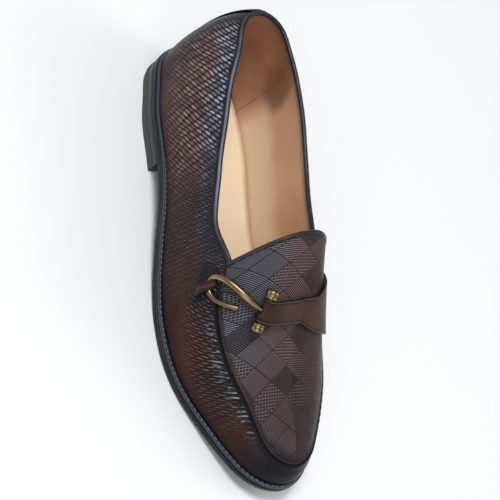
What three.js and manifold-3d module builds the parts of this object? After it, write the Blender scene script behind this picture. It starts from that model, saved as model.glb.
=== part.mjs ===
// A right shoe: a loafer with a sewn apron and tongue, a strap across the instep and a brass hook.
// The toe points to -Y, the outer side of the foot is -X, the inner side +X, and the shoe stands on z = 0.
import * as THREE from "three";
import { mergeVertices } from "three/addons/utils/BufferGeometryUtils.js";
import Module from "manifold-3d";

const wasm = await Module();
wasm.setup();

// Sizes of the last, in millimetres
const LAST_LENGTH = 287; // bottom of the last, back of the heel to the tip of the toe
const BALL_WIDTH = 96; // bottom of the last at the ball, feather line to feather line
const INSTEP_HEIGHT = 98; // floor to the middle of the tongue's top edge
const COLLAR_HEIGHT = 70; // heel seat to the topline at the back
const HEEL_HEIGHT = 13; // floor to the underside of the outsole at the back
const TOE_SPRING = 9; // floor to the underside of the outsole at the tip

// Leather thicknesses and clearances, in millimetres
const UPPER_WALL = 2; // outside leather and lining together
const SOLE_THICKNESS = 4;
const WELT_THICKNESS = 2;
const INSOLE_THICKNESS = 3;
const TOP_PIECE_THICKNESS = 6;
const SOLE_LEDGE = 3; // how far the outsole's edge stands out from the feather line at the toe
const WELT_STEP = 0.5; // the welt's edge stands back from the outsole's edge
const WELT_WIDTH = 13; // from the welt's outer edge to its inner edge
const HEEL_TAPER = 1; // the heel's foot stands in from its top
const HEEL_BREAST = 0.276; // front face of the heel, as a share of the last's length
const SEAM_RISE = 0.8; // how proud the side leather's lip stands at the apron seam
const SEAM_DEPTH = 0.6; // depth of the groove beside it
const LIP_WIDTH = 1.4; // half the width of that lip
const GROOVE_WIDTH = 0.9; // half the width of the groove
const BINDING_RADIUS = 1.5;
const BACK_STRIP_TOP = 16; // width of the strip up the back of the heel
const BACK_STRIP_FOOT = 11;
const BACK_STRIP_THICKNESS = 1;
const GAP = 0.3; // clearance between pieces that touch

// Outline of the last's bottom: at and half widths as shares of the length and the ball width, ledge of the sole's
const OUTLINE_COLUMNS = ["at", "lateral", "medial", "ledge"];
const OUTLINE = [
  [0, 0, 0, 0.5],
  [0.012, 0.14, 0.135, 0.5],
  [0.045, 0.235, 0.235, 0.5],
  [0.095, 0.285, 0.28, 0.5],
  [0.165, 0.34, 0.31, 0.5],
  [0.255, 0.365, 0.305, 0.6],
  [0.36, 0.41, 0.265, 0.7],
  [0.46, 0.48, 0.255, 0.75],
  [0.56, 0.54, 0.315, 0.85],
  [0.64, 0.565, 0.4, 0.95],
  [0.71, 0.56, 0.46, 1],
  [0.78, 0.51, 0.48, 1],
  [0.85, 0.415, 0.435, 1],
  [0.915, 0.315, 0.34, 1],
  [0.965, 0.215, 0.235, 1],
  [0.992, 0.1, 0.12, 1],
  [1, -0.03, 0.03, 1],
];

// Rise of the last's bottom: shares of the heel height and of the toe spring
const RISE_COLUMNS = ["at", "lift", "spring"];
const RISE = [
  [0.0, 1.0, 0.0],
  [0.26, 0.93, 0.0],
  [0.36, 0.74, 0.0],
  [0.46, 0.42, 0.0],
  [0.56, 0.12, 0.0],
  [0.63, 0.0, 0.0],
  [0.74, 0.0, 0.0],
  [0.83, 0.0, 0.16],
  [0.92, 0.0, 0.5],
  [1.0, 0.0, 1.0],
];

// Sections of the last, each a curve from the feather line to the ridge. at is where it leaves the feather line and
// spineAt where it meets the ridge, shares of the length; spineX is a share of the ball width; ridge of the instep
// height; rim, which is the topline or the apron seam over the feather line, of the collar height; bulge and roof
// are shares of the section's own width, wall of its height; sweep bends it back towards the tongue.
const SECTION_COLUMNS = [
  "at", "spineAt", "spineX", "ridge", "bulge", "wall", "roof", "rimLateral", "rimMedial", "sweep",
];
const SECTIONS = [
  [0, 0.11, 0.15, 1.07, 0.11, 0.42, 0.95, 1, 1, 1],
  [0.12, 0.155, 0.11, 1.04, 0.11, 0.42, 0.9, 0.94, 0.995, 1],
  [0.25, 0.245, 0.07, 1.055, 0.09, 0.4, 0.845, 0.785, 0.98, 1],
  [0.36, 0.35, 0.03, 1.085, 0.08, 0.4, 0.795, 0.685, 0.955, 1.15],
  [0.46, 0.45, 0.005, 1.1, 0.07, 0.4, 0.755, 0.665, 0.92, 1.5],
  [0.575, 0.54, 0, 1, 0.07, 0.4, 0.65, 0.78, 0.86, 1.8],
  [0.64, 0.59, 0.015, 0.87, 0.08, 0.42, 0.59, 0.615, 0.675, 1.5],
  [0.72, 0.66, 0.025, 0.69, 0.09, 0.43, 0.56, 0.5, 0.49, 1.2],
  [0.79, 0.725, 0.035, 0.555, 0.09, 0.44, 0.55, 0.42, 0.365, 1.05],
  [0.87, 0.785, 0.03, 0.465, 0.07, 0.45, 0.54, 0.34, 0.28, 1],
  [0.94, 0.83, 0.025, 0.42, 0.055, 0.46, 0.545, 0.255, 0.215, 1],
  [1, 0.855, 0.015, 0.4, 0.045, 0.48, 0.555, 0.195, 0.195, 1],
];

// Where the sides' topline turns into the apron seam, a share of the length
const THROAT = 0.585;
const SEAM_FADE = 0.04; // the seam's relief grows over this share of a side

// The strap from the bar to the inner apron seam: its two edges as places on the upper, and how far the
// doubled leather stands off near the bar, as a share of the strap's thickness
const STRAP_COLUMNS = ["at", "upper", "upperAcross", "lower", "lowerAcross", "doubled"];
const STRAP = [
  [0, 0.684, -0.47, 0.715, -0.565, 2.3],
  [0.13, 0.692, -0.33, 0.731, -0.39, 1.7],
  [0.35, 0.71, -0.05, 0.752, -0.08, 0.6],
  [0.55, 0.7, 0.22, 0.76, 0.2, 0.1],
  [0.8, 0.66, 0.54, 0.75, 0.53, 0],
  [1, 0.605, 0.95, 0.722, 0.95, 0],
];
const STRAP_THICKNESS = 2;

// The bar that the strap is folded round, its round ends, and the brass wire of the hook that hangs on it
const BAR_RADIUS = 1.5;
const BAR_LENGTH = 15; // from end piece to end piece
const CAP_RADIUS = 3.8;
const CAP_LENGTH = 5.4;
const CAP_CHAMFER = 0.9;
const FOLD_LENGTH = 14; // the strap's fold along the bar
const WIRE_RADIUS = 1.2; // at the eye and the tip
const WIRE_RISE = 4; // middle of the wire above the leather, where it leaves the fold
const HOOK_SLOT = 3.8; // width of the opening in the fold that the hook's eye sits in
// The wire's middle as places over the upper, rise as a share of WIRE_RISE and thick as a share of WIRE_RADIUS
const HOOK_COLUMNS = ["at", "across", "rise", "thick"];
const HOOK = [
  [0.684, -0.6, 1.1, 1],
  [0.676, -0.645, 1.02, 1.3],
  [0.66, -0.7, 0.9, 1.5],
  [0.643, -0.765, 0.8, 1.5],
  [0.626, -0.85, 0.72, 1.5],
  [0.609, -0.95, 0.7, 1.4],
  [0.597, -1.06, 0.65, 1.2],
  [0.588, -1.14, 0.57, 1.1],
  [0.59, -1.185, 0.5, 1],
  [0.603, -1.2, 0.47, 1],
  [0.617, -1.16, 0.5, 1],
  [0.629, -1.08, 0.57, 1],
  [0.64, -1.01, 0.65, 1],
  [0.651, -0.94, 0.65, 1],
  [0.663, -0.86, 0.62, 1],
  [0.674, -0.78, 0.57, 1],
];

// The leather loop on the outer side that holds the hook: its middle, and where its two feet stand
const TAB_AT = 0.605;
const TAB_WIDTH = 5;
const TAB_HEAD = 1.1;
const TAB_FOOT = 1.36;
const TAB_RISE = 4.2;
const TAB_THICKNESS = 1.2;

// How many steps the surfaces are cut into
const QUARTER_STEPS = 20;
const VAMP_STEPS = 24;
const WALL_STEPS = 8;
const APRON_STEPS = 6;
const HEEL_STEPS = 14;
const ACROSS_STEPS = 2;
const TONGUE_STEPS = 8;
const BACK_STRIP_STEPS = 3;
const BINDING_SIDES = 8;
const STRAP_STEPS = 14;
const STRAP_LANES = 4;
const TAB_STEPS = 8;
const ROUND_SIDES = 20;
const WIRE_STEPS = 40;
const WIRE_SIDES = 5; // steps in half the wire's round

const LATERAL = "lateral";
const MEDIAL = "medial";

const table = (columns, rows) =>
  rows.map((row) => Object.fromEntries(columns.map((name, i) => [name, row[i]])));
const outlineRows = table(OUTLINE_COLUMNS, OUTLINE);
const riseRows = table(RISE_COLUMNS, RISE);
const sectionRows = table(SECTION_COLUMNS, SECTIONS);
const strapRows = table(STRAP_COLUMNS, STRAP);
const hookRows = table(HOOK_COLUMNS, HOOK);

// A table's column read between its rows by a smooth curve that never overshoots them, and past its ends along a line
function read(rows, column, at) {
  const last = rows.length - 1;
  const slope = (j) => (rows[j + 1][column] - rows[j][column]) / (rows[j + 1].at - rows[j].at);
  const tangent = (j) => {
    if (j === 0) return slope(0);
    if (j === last) return slope(last - 1);
    const before = slope(j - 1);
    const after = slope(j);
    return before * after <= 0 ? 0 : (2 * before * after) / (before + after);
  };
  if (at < rows[0].at) return rows[0][column] + slope(0) * (at - rows[0].at);
  if (at > rows[last].at) return rows[last][column] + slope(last - 1) * (at - rows[last].at);
  let i = 0;
  while (i < last - 1 && at > rows[i + 1].at) i += 1;
  const width = rows[i + 1].at - rows[i].at;
  const t = (at - rows[i].at) / width;
  return (
    rows[i][column] * (1 + 2 * t) * (1 - t) ** 2 +
    tangent(i) * width * t * (1 - t) ** 2 +
    rows[i + 1][column] * t ** 2 * (3 - 2 * t) +
    tangent(i + 1) * width * t ** 2 * (t - 1)
  );
}

// The feather line as one closed curve in plan: along the outer side to the tip and back along the inner side
const lateralPoints = outlineRows.map(
  (row) => new THREE.Vector3(-row.lateral * BALL_WIDTH, -row.at * LAST_LENGTH, 0),
);
const medialPoints = outlineRows
  .slice(1, -1)
  .reverse()
  .map((row) => new THREE.Vector3(row.medial * BALL_WIDTH, -row.at * LAST_LENGTH, 0));
const feather = new THREE.CatmullRomCurve3([...lateralPoints, ...medialPoints], true, "centripetal");
const FINE = 40; // arc length samples between two points of the outline
feather.arcLengthDivisions = FINE * feather.points.length;
const featherLengths = feather.getLengths();
const SIDE_LENGTH = featherLengths[FINE * (outlineRows.length - 1)];
const TIP = SIDE_LENGTH / featherLengths.at(-1);

// A place on one side's feather line: way runs from 0 at the back of the heel to 1 at the tip of the toe
const turn = (side, way) => (side === LATERAL ? way * TIP : 1 - way * (1 - TIP)) % 1;
const shareAt = (point) => -point.y / LAST_LENGTH;
function outline(side, way, outset = 0) {
  const u = turn(side, way);
  const point = feather.getPointAt(u);
  const tangent = feather.getTangentAt(u);
  return point.add(new THREE.Vector3(tangent.y, -tangent.x, 0).multiplyScalar(outset));
}
// Where a rising function of a number from 0 to 1 reaches a value
function solve(rising, value) {
  let low = 0;
  let high = 1;
  for (let i = 0; i < 40; i += 1) {
    const middle = (low + high) / 2;
    if (rising(middle) < value) low = middle;
    else high = middle;
  }
  return (low + high) / 2;
}
// The way whose place on one side's feather line has this share of the length
const wayAt = (side, at) => solve((way) => shareAt(outline(side, way)), at);

// Heights of the sole's faces at a share of the length
const underside = (at) =>
  read(riseRows, "lift", at) * HEEL_HEIGHT + read(riseRows, "spring", at) * TOE_SPRING;
const soleTop = (at) => underside(at) + SOLE_THICKNESS;
const weltTop = (at) => soleTop(at) + GAP + WELT_THICKNESS;
const seat = (at) => weltTop(at) + GAP;
const ledge = (at) => read(outlineRows, "ledge", at) * SOLE_LEDGE;

// The share of the length that the two sides' sections at one way are read at, so that they meet at the ridge
const meanShare = (way) => (shareAt(outline(LATERAL, way)) + shareAt(outline(MEDIAL, way))) / 2;

// A section of the last, from the feather line to the ridge, as its place at t from 0 to 1
function section(side, way) {
  const foot = outline(side, way);
  const value = (column) => read(sectionRows, column, meanShare(way));
  const spine = new THREE.Vector3(
    value("spineX") * BALL_WIDTH,
    -value("spineAt") * LAST_LENGTH,
    value("ridge") * INSTEP_HEIGHT,
  );
  const floor = seat(shareAt(foot));
  const width = new THREE.CubicBezierCurve(
    new THREE.Vector2(1, 0),
    new THREE.Vector2(1 + value("bulge"), value("wall")),
    new THREE.Vector2(value("roof"), 1),
    new THREE.Vector2(0, 1),
  );
  const sweep = value("sweep");
  const rim = value(side === LATERAL ? "rimLateral" : "rimMedial") * COLLAR_HEIGHT;
  const place = (t) => {
    const p = width.getPoint(t);
    return new THREE.Vector3(
      spine.x + (foot.x - spine.x) * p.x,
      spine.y + (foot.y - spine.y) * Math.abs(p.x) ** sweep,
      floor + (spine.z - floor) * p.y,
    );
  };
  const rimAt = solve((t) => place(t).z, floor + rim);
  const step = 0.01;
  const pace = place(rimAt).distanceTo(place(rimAt - step)) / step;
  return { place, rimAt, pace };
}

// A place on the upper's outside: across runs from 0 at the ridge to -1 at the outer or 1 at the inner apron seam
// or topline, and on to -2 or 2 at the feather line; rise is the height over the leather
function onUpper(at, across, rise = 0) {
  const side = across < 0 ? LATERAL : MEDIAL;
  const way = solve(meanShare, at);
  const here = section(side, way);
  const apart = Math.abs(across);
  const t = apart < 1 ? THREE.MathUtils.lerp(1, here.rimAt, apart) : here.rimAt * (2 - apart);
  return here.place(t).addScaledVector(normalAt(side, way, t), rise);
}

// The outward normal of one side's sections at a way and t
function normalAt(side, way, t) {
  const step = 1e-3;
  const before = Math.max(way - step, 0);
  const after = Math.min(way + step, 1);
  const low = Math.max(t - step, 0);
  const high = Math.min(t + step, 1);
  const along = section(side, after).place(t).sub(section(side, before).place(t));
  const up = section(side, way).place(high).sub(section(side, way).place(low));
  return (side === LATERAL ? along.cross(up) : up.cross(along)).normalize();
}

// The ways that all long pieces are cut at on each side, those of the quarter first
const throat = solve(meanShare, THROAT);
const quarterWays = Array.from({ length: QUARTER_STEPS }, (_, i) => (throat * i) / QUARTER_STEPS);
const vampWays = Array.from({ length: VAMP_STEPS + 1 }, (_, i) => THREE.MathUtils.lerp(throat, 1, i / VAMP_STEPS));
const allWays = [...quarterWays, ...vampWays];

// Triangles of a surface given as strips of points, each strip as long as its neighbour. A point's own relief is
// how far its wall stands proud there.
class Surface {
  constructor() {
    this.positions = [];
    this.reliefs = [];
  }
  triangle(a, b, c) {
    if (a.distanceTo(b) < 1e-4 || b.distanceTo(c) < 1e-4 || c.distanceTo(a) < 1e-4) return;
    for (const p of [a, b, c]) {
      this.positions.push(p.x, p.y, p.z);
      this.reliefs.push(p.relief ?? 0);
    }
  }
  quad(a, b, c, d) {
    if (a.distanceTo(c) <= b.distanceTo(d)) {
      this.triangle(a, b, c);
      this.triangle(a, c, d);
    } else {
      this.triangle(a, b, d);
      this.triangle(b, c, d);
    }
  }
  grid(strips, flip = false) {
    for (let i = 0; i + 1 < strips.length; i += 1) {
      for (let j = 0; j + 1 < strips[i].length; j += 1) {
        const corners = [strips[i][j], strips[i + 1][j], strips[i + 1][j + 1], strips[i][j + 1]];
        if (flip) corners.reverse();
        this.quad(...corners);
      }
    }
  }
  geometry() {
    const made = new THREE.BufferGeometry();
    made.setAttribute("position", new THREE.Float32BufferAttribute(this.positions, 3));
    made.setAttribute("relief", new THREE.Float32BufferAttribute(this.reliefs, 1));
    return mergeVertices(made, 1e-3);
  }
}

// A closed mesh with its faces turned outwards
function closed(geometry) {
  const made = new THREE.BufferGeometry();
  made.setAttribute("position", geometry.attributes.position);
  if (geometry.index) made.setIndex(geometry.index);
  const mesh = mergeVertices(made, 1e-3);
  const all = Array.from(mesh.index.array);
  const index = [];
  for (let i = 0; i < all.length; i += 3) {
    const face = all.slice(i, i + 3);
    if (new Set(face).size === 3) index.push(...face);
  }
  const corner = (i) => new THREE.Vector3().fromBufferAttribute(mesh.attributes.position, index[i]);
  let volume = 0;
  for (let i = 0; i < index.length; i += 3) {
    volume += corner(i).dot(corner(i + 1).cross(corner(i + 2)));
  }
  if (volume < 0) {
    for (let i = 0; i < index.length; i += 3) [index[i + 1], index[i + 2]] = [index[i + 2], index[i + 1]];
  }
  mesh.setIndex(index);
  return mesh;
}

// A wall made from a surface: its outer face lies outer along the normals and its inner face inner along them
function thicken(surface, outer, inner) {
  const open = surface.geometry();
  open.computeVertexNormals();
  const index = open.index.array;
  const place = open.attributes.position;
  const normal = open.attributes.normal;
  const relief = open.attributes.relief;
  const shifted = (i, by) => {
    const out = new THREE.Vector3().fromBufferAttribute(normal, i).multiplyScalar(by);
    return out.add(new THREE.Vector3().fromBufferAttribute(place, i));
  };
  const raised = (i) => shifted(i, outer + relief.getX(i));
  const edges = new Set();
  for (let i = 0; i < index.length; i += 3) {
    for (let k = 0; k < 3; k += 1) edges.add(index[i + k] + ":" + index[i + ((k + 1) % 3)]);
  }
  const wall = new Surface();
  for (let i = 0; i < index.length; i += 3) {
    const [a, b, c] = index.slice(i, i + 3);
    wall.triangle(raised(a), raised(b), raised(c));
    wall.triangle(shifted(a, inner), shifted(c, inner), shifted(b, inner));
  }
  for (const edge of edges) {
    const [a, b] = edge.split(":").map(Number);
    if (edges.has(b + ":" + a)) continue;
    wall.quad(raised(b), raised(a), shifted(a, inner), shifted(b, inner));
  }
  return closed(wall.geometry());
}

// A plate from the back of the heel to the tip of the toe, or up to a front face, with its own edge, top and bottom
function plate({ front, edge, top, bottom, bottomEdge = edge }) {
  const strips = [];
  const steps = front === undefined ? allWays.length - 1 : HEEL_STEPS;
  for (let i = 0; i <= steps; i += 1) {
    const ends = [LATERAL, MEDIAL].map((side) => {
      const way = front === undefined ? allWays[i] : (wayAt(side, front) * i) / steps;
      const at = shareAt(outline(side, way));
      return [outline(side, way, edge(at)), outline(side, way, bottomEdge(at))];
    });
    const strip = { top: [], bottom: [] };
    for (let j = 0; j <= ACROSS_STEPS; j += 1) {
      const share = j / ACROSS_STEPS;
      const high = ends[0][0].clone().lerp(ends[1][0], share);
      const low = ends[0][1].clone().lerp(ends[1][1], share);
      high.z = top(shareAt(high));
      low.z = bottom(shareAt(low));
      strip.top.push(high);
      strip.bottom.push(low);
    }
    strips.push(strip);
  }
  const made = new Surface();
  made.grid(strips.map((s) => s.top));
  made.grid(strips.map((s) => s.bottom), true);
  for (const j of [0, ACROSS_STEPS]) {
    const side = strips.map((s) => [s.top[j], s.bottom[j]]);
    made.grid(side, j === 0);
  }
  made.grid([strips[0].top, strips[0].bottom], true);
  made.grid([strips.at(-1).top, strips.at(-1).bottom]);
  return closed(made.geometry());
}

// A closed ring whose section is a polygon: one list of corners for each place round the loop
function ring(sections) {
  const made = new Surface();
  made.grid([...sections, sections[0]].map((corners) => [...corners, corners[0]]));
  return closed(made.geometry());
}

// Every place round the feather line, from the back of the heel by the outer side and back by the inner side
function round(visit) {
  const out = allWays.slice(0, -1).map((way) => visit(LATERAL, way));
  const back = allWays.slice(1).map((way) => visit(MEDIAL, way));
  return [...out, ...back.reverse()];
}

function outsole() {
  return plate({ edge: ledge, top: soleTop, bottom: underside });
}

function welt() {
  const bottom = (at) => soleTop(at) + GAP;
  return ring(
    round((side, way) => {
      const outer = ledge(shareAt(outline(side, way))) - WELT_STEP;
      const corners = [
        [outer, bottom],
        [outer, weltTop],
        [outer - WELT_WIDTH, weltTop],
        [outer - WELT_WIDTH, bottom],
      ];
      return corners.map(([outset, height]) => {
        const corner = outline(side, way, outset);
        return corner.setZ(height(shareAt(corner)));
      });
    }),
  );
}

function heelStack() {
  return plate({
    front: HEEL_BREAST,
    edge: ledge,
    bottomEdge: (at) => ledge(at) - HEEL_TAPER,
    top: (at) => underside(at) - GAP,
    bottom: () => TOP_PIECE_THICKNESS + GAP,
  });
}

function topPiece() {
  return plate({
    front: HEEL_BREAST,
    edge: (at) => ledge(at) - HEEL_TAPER,
    top: () => TOP_PIECE_THICKNESS,
    bottom: () => 0,
  });
}

function insole() {
  const inside = () => -UPPER_WALL - GAP;
  return plate({
    edge: inside,
    top: (at) => seat(at) + INSOLE_THICKNESS,
    bottom: seat,
  });
}

// One strip of the upper's outside, from the feather line up to the topline, or over the seam to the ridge. The side
// leather's lip stands proud at the apron seam, beside a groove, and both fade out at the throat.
function upperStrip(side, way) {
  const { place, rimAt, pace } = section(side, way);
  const near = (distance) => rimAt + distance / pace;
  const fade = THREE.MathUtils.smoothstep(way, throat, throat + SEAM_FADE);
  const point = (t, relief = 0) => Object.assign(place(t), { relief: relief * fade });
  const foot = near(-2 * LIP_WIDTH);
  const wall = [];
  for (let i = 0; i <= WALL_STEPS; i += 1) wall.push(point((foot * i) / WALL_STEPS));
  wall.push(point(near(-LIP_WIDTH), SEAM_RISE), point(near(0), SEAM_RISE));
  if (way < throat) return { wall, apron: [] };
  const bank = near(2 * GROOVE_WIDTH);
  const apron = [wall.at(-1), point(near(GROOVE_WIDTH), -SEAM_DEPTH)];
  for (let i = 0; i <= APRON_STEPS; i += 1) {
    apron.push(point(THREE.MathUtils.lerp(bank, 1, i / APRON_STEPS)));
  }
  return { wall, apron };
}

function upper() {
  const made = new Surface();
  for (const side of [LATERAL, MEDIAL]) {
    const strips = allWays.map((way) => upperStrip(side, way));
    made.grid(strips.map((s) => s.wall), side === MEDIAL);
    made.grid(strips.map((s) => s.apron).filter((s) => s.length), side === MEDIAL);
  }
  return thicken(made, 0, -UPPER_WALL);
}

// The edge of the opening as one closed loop: up the outer topline, over the tongue and back down the inner one
function openingEdge() {
  const quarter = (side) =>
    [...quarterWays, throat].map((way) => {
      const { place, rimAt } = section(side, way);
      return { point: place(rimAt), normal: normalAt(side, way, rimAt) };
    });
  const tongue = (side) => {
    const { place, rimAt } = section(side, throat);
    const steps = Array.from({ length: TONGUE_STEPS }, (_, i) => (i + 1) / TONGUE_STEPS);
    return steps.map((share) => {
      const t = THREE.MathUtils.lerp(rimAt, 1, share);
      return { point: place(t), normal: normalAt(side, throat, t) };
    });
  };
  const back = (places) => places.slice(0, -1).reverse();
  return [
    ...quarter(LATERAL),
    ...tongue(LATERAL),
    ...back(tongue(MEDIAL)),
    ...quarter(MEDIAL).slice(1).reverse(),
  ];
}

// The piping is a bead that sits on the edge, its middle half the wall's thickness inside the outer face
function collarBinding() {
  const edge = openingEdge();
  const reach = BINDING_RADIUS + GAP;
  const count = edge.length;
  const outward = (from, to) => {
    const along = to.point.clone().sub(from.point).normalize();
    return from.normal.clone().add(to.normal).cross(along).normalize();
  };
  return ring(
    edge.map((here, i) => {
      const before = outward(edge[(i + count - 1) % count], here);
      const after = outward(here, edge[(i + 1) % count]);
      const miter = before.clone().add(after).divideScalar(1 + before.dot(after));
      const middle = here.point
        .clone()
        .addScaledVector(miter, reach)
        .addScaledVector(here.normal, -UPPER_WALL / 2);
      return Array.from({ length: BINDING_SIDES }, (_, k) => {
        const angle = (2 * Math.PI * (k + 0.5)) / BINDING_SIDES;
        return middle
          .clone()
          .addScaledVector(miter, BINDING_RADIUS * Math.sin(angle))
          .addScaledVector(here.normal, BINDING_RADIUS * Math.cos(angle));
      });
    }),
  );
}

// The plain strip up the back of the heel, narrowing towards the foot
function backStrip() {
  const made = new Surface();
  const strips = [];
  for (let i = -BACK_STRIP_STEPS; i <= BACK_STRIP_STEPS; i += 1) {
    const side = i < 0 ? LATERAL : MEDIAL;
    const strip = [];
    for (let j = 0; j <= WALL_STEPS; j += 1) {
      const high = j / WALL_STEPS;
      const half = THREE.MathUtils.lerp(BACK_STRIP_FOOT, BACK_STRIP_TOP, high) / 2;
      const way = ((Math.abs(i) / BACK_STRIP_STEPS) * half) / SIDE_LENGTH;
      const { place, rimAt, pace } = section(side, way);
      strip.push(place(THREE.MathUtils.lerp(GAP / pace, rimAt - GAP / pace, high)));
    }
    strips.push(strip);
  }
  made.grid(strips, true);
  return thicken(made, GAP + BACK_STRIP_THICKNESS, GAP);
}

// Joining and cutting of closed meshes
function solid(geometry) {
  const mesh = closed(geometry);
  const vertProperties = mesh.attributes.position.array;
  const triVerts = new Uint32Array(mesh.index.array);
  return new wasm.Manifold(new wasm.Mesh({ numProp: 3, vertProperties, triVerts }));
}
function geometryOf(made) {
  const mesh = made.getMesh();
  const geometry = new THREE.BufferGeometry();
  geometry.setAttribute("position", new THREE.BufferAttribute(mesh.vertProperties, 3));
  geometry.setIndex(new THREE.BufferAttribute(mesh.triVerts, 1));
  return geometry;
}

// The bar lies across the strap's outer end, high enough for the hook's eye to turn clear of the leather
const foldRadius = BAR_RADIUS + GAP + STRAP_THICKNESS;
const eyeRadius = BAR_RADIUS + GAP + WIRE_RADIUS;
const barRise = GAP + eyeRadius + WIRE_RADIUS;
const barEnds = ["upper", "lower"].map((edge) =>
  onUpper(strapRows[0][edge], strapRows[0][edge + "Across"], barRise),
);
const barMiddle = barEnds[0].clone().lerp(barEnds[1], 0.5);
const barAxis = barEnds[0].clone().sub(barEnds[1]).normalize();
const barTurn = new THREE.Quaternion().setFromUnitVectors(new THREE.Vector3(0, 1, 0), barAxis);
const onBar = (geometry, along = 0) =>
  geometry.applyQuaternion(barTurn).translate(...barMiddle.clone().addScaledVector(barAxis, along));
const barRod = (radius, length, along = 0) =>
  onBar(new THREE.CylinderGeometry(radius, radius, length, ROUND_SIDES), along);
const capMiddle = BAR_LENGTH / 2 + GAP + CAP_LENGTH / 2;

function strap() {
  const made = new Surface();
  const strips = [];
  for (let i = 0; i <= STRAP_STEPS; i += 1) {
    const value = (column) => read(strapRows, column, i / STRAP_STEPS);
    const strip = [];
    for (let j = 0; j <= STRAP_LANES; j += 1) {
      const at = THREE.MathUtils.lerp(value("upper"), value("lower"), j / STRAP_LANES);
      const across = THREE.MathUtils.lerp(value("upperAcross"), value("lowerAcross"), j / STRAP_LANES);
      const point = onUpper(at, across);
      point.relief = value("doubled") * STRAP_THICKNESS;
      strip.push(point);
    }
    strips.push(strip);
  }
  made.grid(strips, true);
  return geometryOf(
    solid(thicken(made, GAP + STRAP_THICKNESS, GAP))
      .add(solid(barRod(foldRadius, FOLD_LENGTH)))
      .subtract(solid(barRod(BAR_RADIUS + GAP, FOLD_LENGTH + BAR_LENGTH)))
      .subtract(solid(barRod(eyeRadius + WIRE_RADIUS + GAP, HOOK_SLOT)))
      .subtract(solid(barRod(CAP_RADIUS + GAP, CAP_LENGTH + 2 * GAP, capMiddle)))
      .subtract(solid(barRod(CAP_RADIUS + GAP, CAP_LENGTH + 2 * GAP, -capMiddle))),
  );
}

function buckleBar() {
  return barRod(BAR_RADIUS, BAR_LENGTH);
}

function barCap(end) {
  const profile = [
    [0, 0],
    [CAP_RADIUS - CAP_CHAMFER, 0],
    [CAP_RADIUS, CAP_CHAMFER],
    [CAP_RADIUS, CAP_LENGTH - CAP_CHAMFER],
    [CAP_RADIUS - CAP_CHAMFER, CAP_LENGTH],
    [0, CAP_LENGTH],
  ].map(([radius, along]) => new THREE.Vector2(radius, along));
  const cap = new THREE.LatheGeometry(profile, ROUND_SIDES);
  if (end < 0) cap.rotateX(Math.PI);
  return closed(onBar(cap, end * (BAR_LENGTH / 2 + GAP)));
}

function hook() {
  const route = hookRows.map((row) => onUpper(row.at, row.across, row.rise * WIRE_RISE));
  const start = route[0].clone().sub(barMiddle).projectOnPlane(barAxis).setLength(eyeRadius).add(barMiddle);
  const path = new THREE.CatmullRomCurve3([start, ...route], false, "centripetal");
  const frames = path.computeFrenetFrames(WIRE_STEPS);
  const thickness = new THREE.CatmullRomCurve3(
    [hookRows[0], ...hookRows].map((row) => new THREE.Vector3(row.thick * WIRE_RADIUS)),
  );
  const rings = [];
  for (let i = 0; i <= WIRE_STEPS; i += 1) {
    const middle = path.getPointAt(i / WIRE_STEPS);
    const radius = thickness.getPoint(path.getUtoTmapping(i / WIRE_STEPS)).x;
    const round = Array.from({ length: 2 * WIRE_SIDES }, (_, k) => {
      const angle = (Math.PI * k) / WIRE_SIDES;
      return middle
        .clone()
        .addScaledVector(frames.normals[i], radius * Math.cos(angle))
        .addScaledVector(frames.binormals[i], radius * Math.sin(angle));
    });
    rings.push([...round, round[0]]);
  }
  const end = (middle, round) => round.map(() => middle);
  const made = new Surface();
  made.grid([end(start, rings[0]), ...rings, end(route.at(-1), rings.at(-1))]);
  const eye = new THREE.TorusGeometry(eyeRadius, WIRE_RADIUS, 2 * WIRE_SIDES, ROUND_SIDES).rotateX(Math.PI / 2);
  const tip = new THREE.SphereGeometry(1.04 * WIRE_RADIUS, 2 * WIRE_SIDES, WIRE_SIDES).translate(...route.at(-1));
  return geometryOf(solid(closed(made.geometry())).add(solid(onBar(eye))).add(solid(tip)));
}

function loopTab() {
  const strips = [];
  for (let i = 0; i <= TAB_STEPS; i += 1) {
    const share = i / TAB_STEPS;
    const rise = GAP + TAB_THICKNESS / 2 + TAB_RISE * Math.sin(Math.PI * share) ** 0.6;
    const across = -THREE.MathUtils.lerp(TAB_HEAD, TAB_FOOT, share);
    const half = TAB_WIDTH / 2 / LAST_LENGTH;
    strips.push([-1, 0, 1].map((lane) => onUpper(TAB_AT + lane * half, across, rise)));
  }
  const made = new Surface();
  made.grid(strips, true);
  return thicken(made, TAB_THICKNESS / 2, -TAB_THICKNESS / 2);
}

const finish = (color, roughness, metalness = 0) =>
  new THREE.MeshStandardMaterial({ color, roughness, metalness });

const shoe = new THREE.Group();
function add(name, geometry, material) {
  const mesh = new THREE.Mesh(geometry, material);
  mesh.name = name;
  shoe.add(mesh);
}
add("outsole", outsole(), finish(0x1c1a1a, 0.5));
add("welt", welt(), finish(0x1a1717, 0.5));
add("heel_stack", heelStack(), finish(0x1f201d, 0.45));
add("top_piece", topPiece(), finish(0x151515, 0.7));
add("insole", insole(), finish(0xd8bc94, 0.6));
add("upper", upper(), finish(0x4a2c22, 0.4));
add("collar_binding", collarBinding(), finish(0x15161c, 0.35));
add("back_strip", backStrip(), finish(0x241a1a, 0.4));
add("strap", strap(), finish(0x3f2620, 0.4));
add("buckle_bar", buckleBar(), finish(0x8a6f3c, 0.35, 1));
add("bar_cap_upper", barCap(1), finish(0x8a6f3c, 0.35, 1));
add("bar_cap_lower", barCap(-1), finish(0x8a6f3c, 0.35, 1));
add("hook", hook(), finish(0x9a7a42, 0.3, 1));
add("loop_tab", loopTab(), finish(0x3a2420, 0.5));

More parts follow.
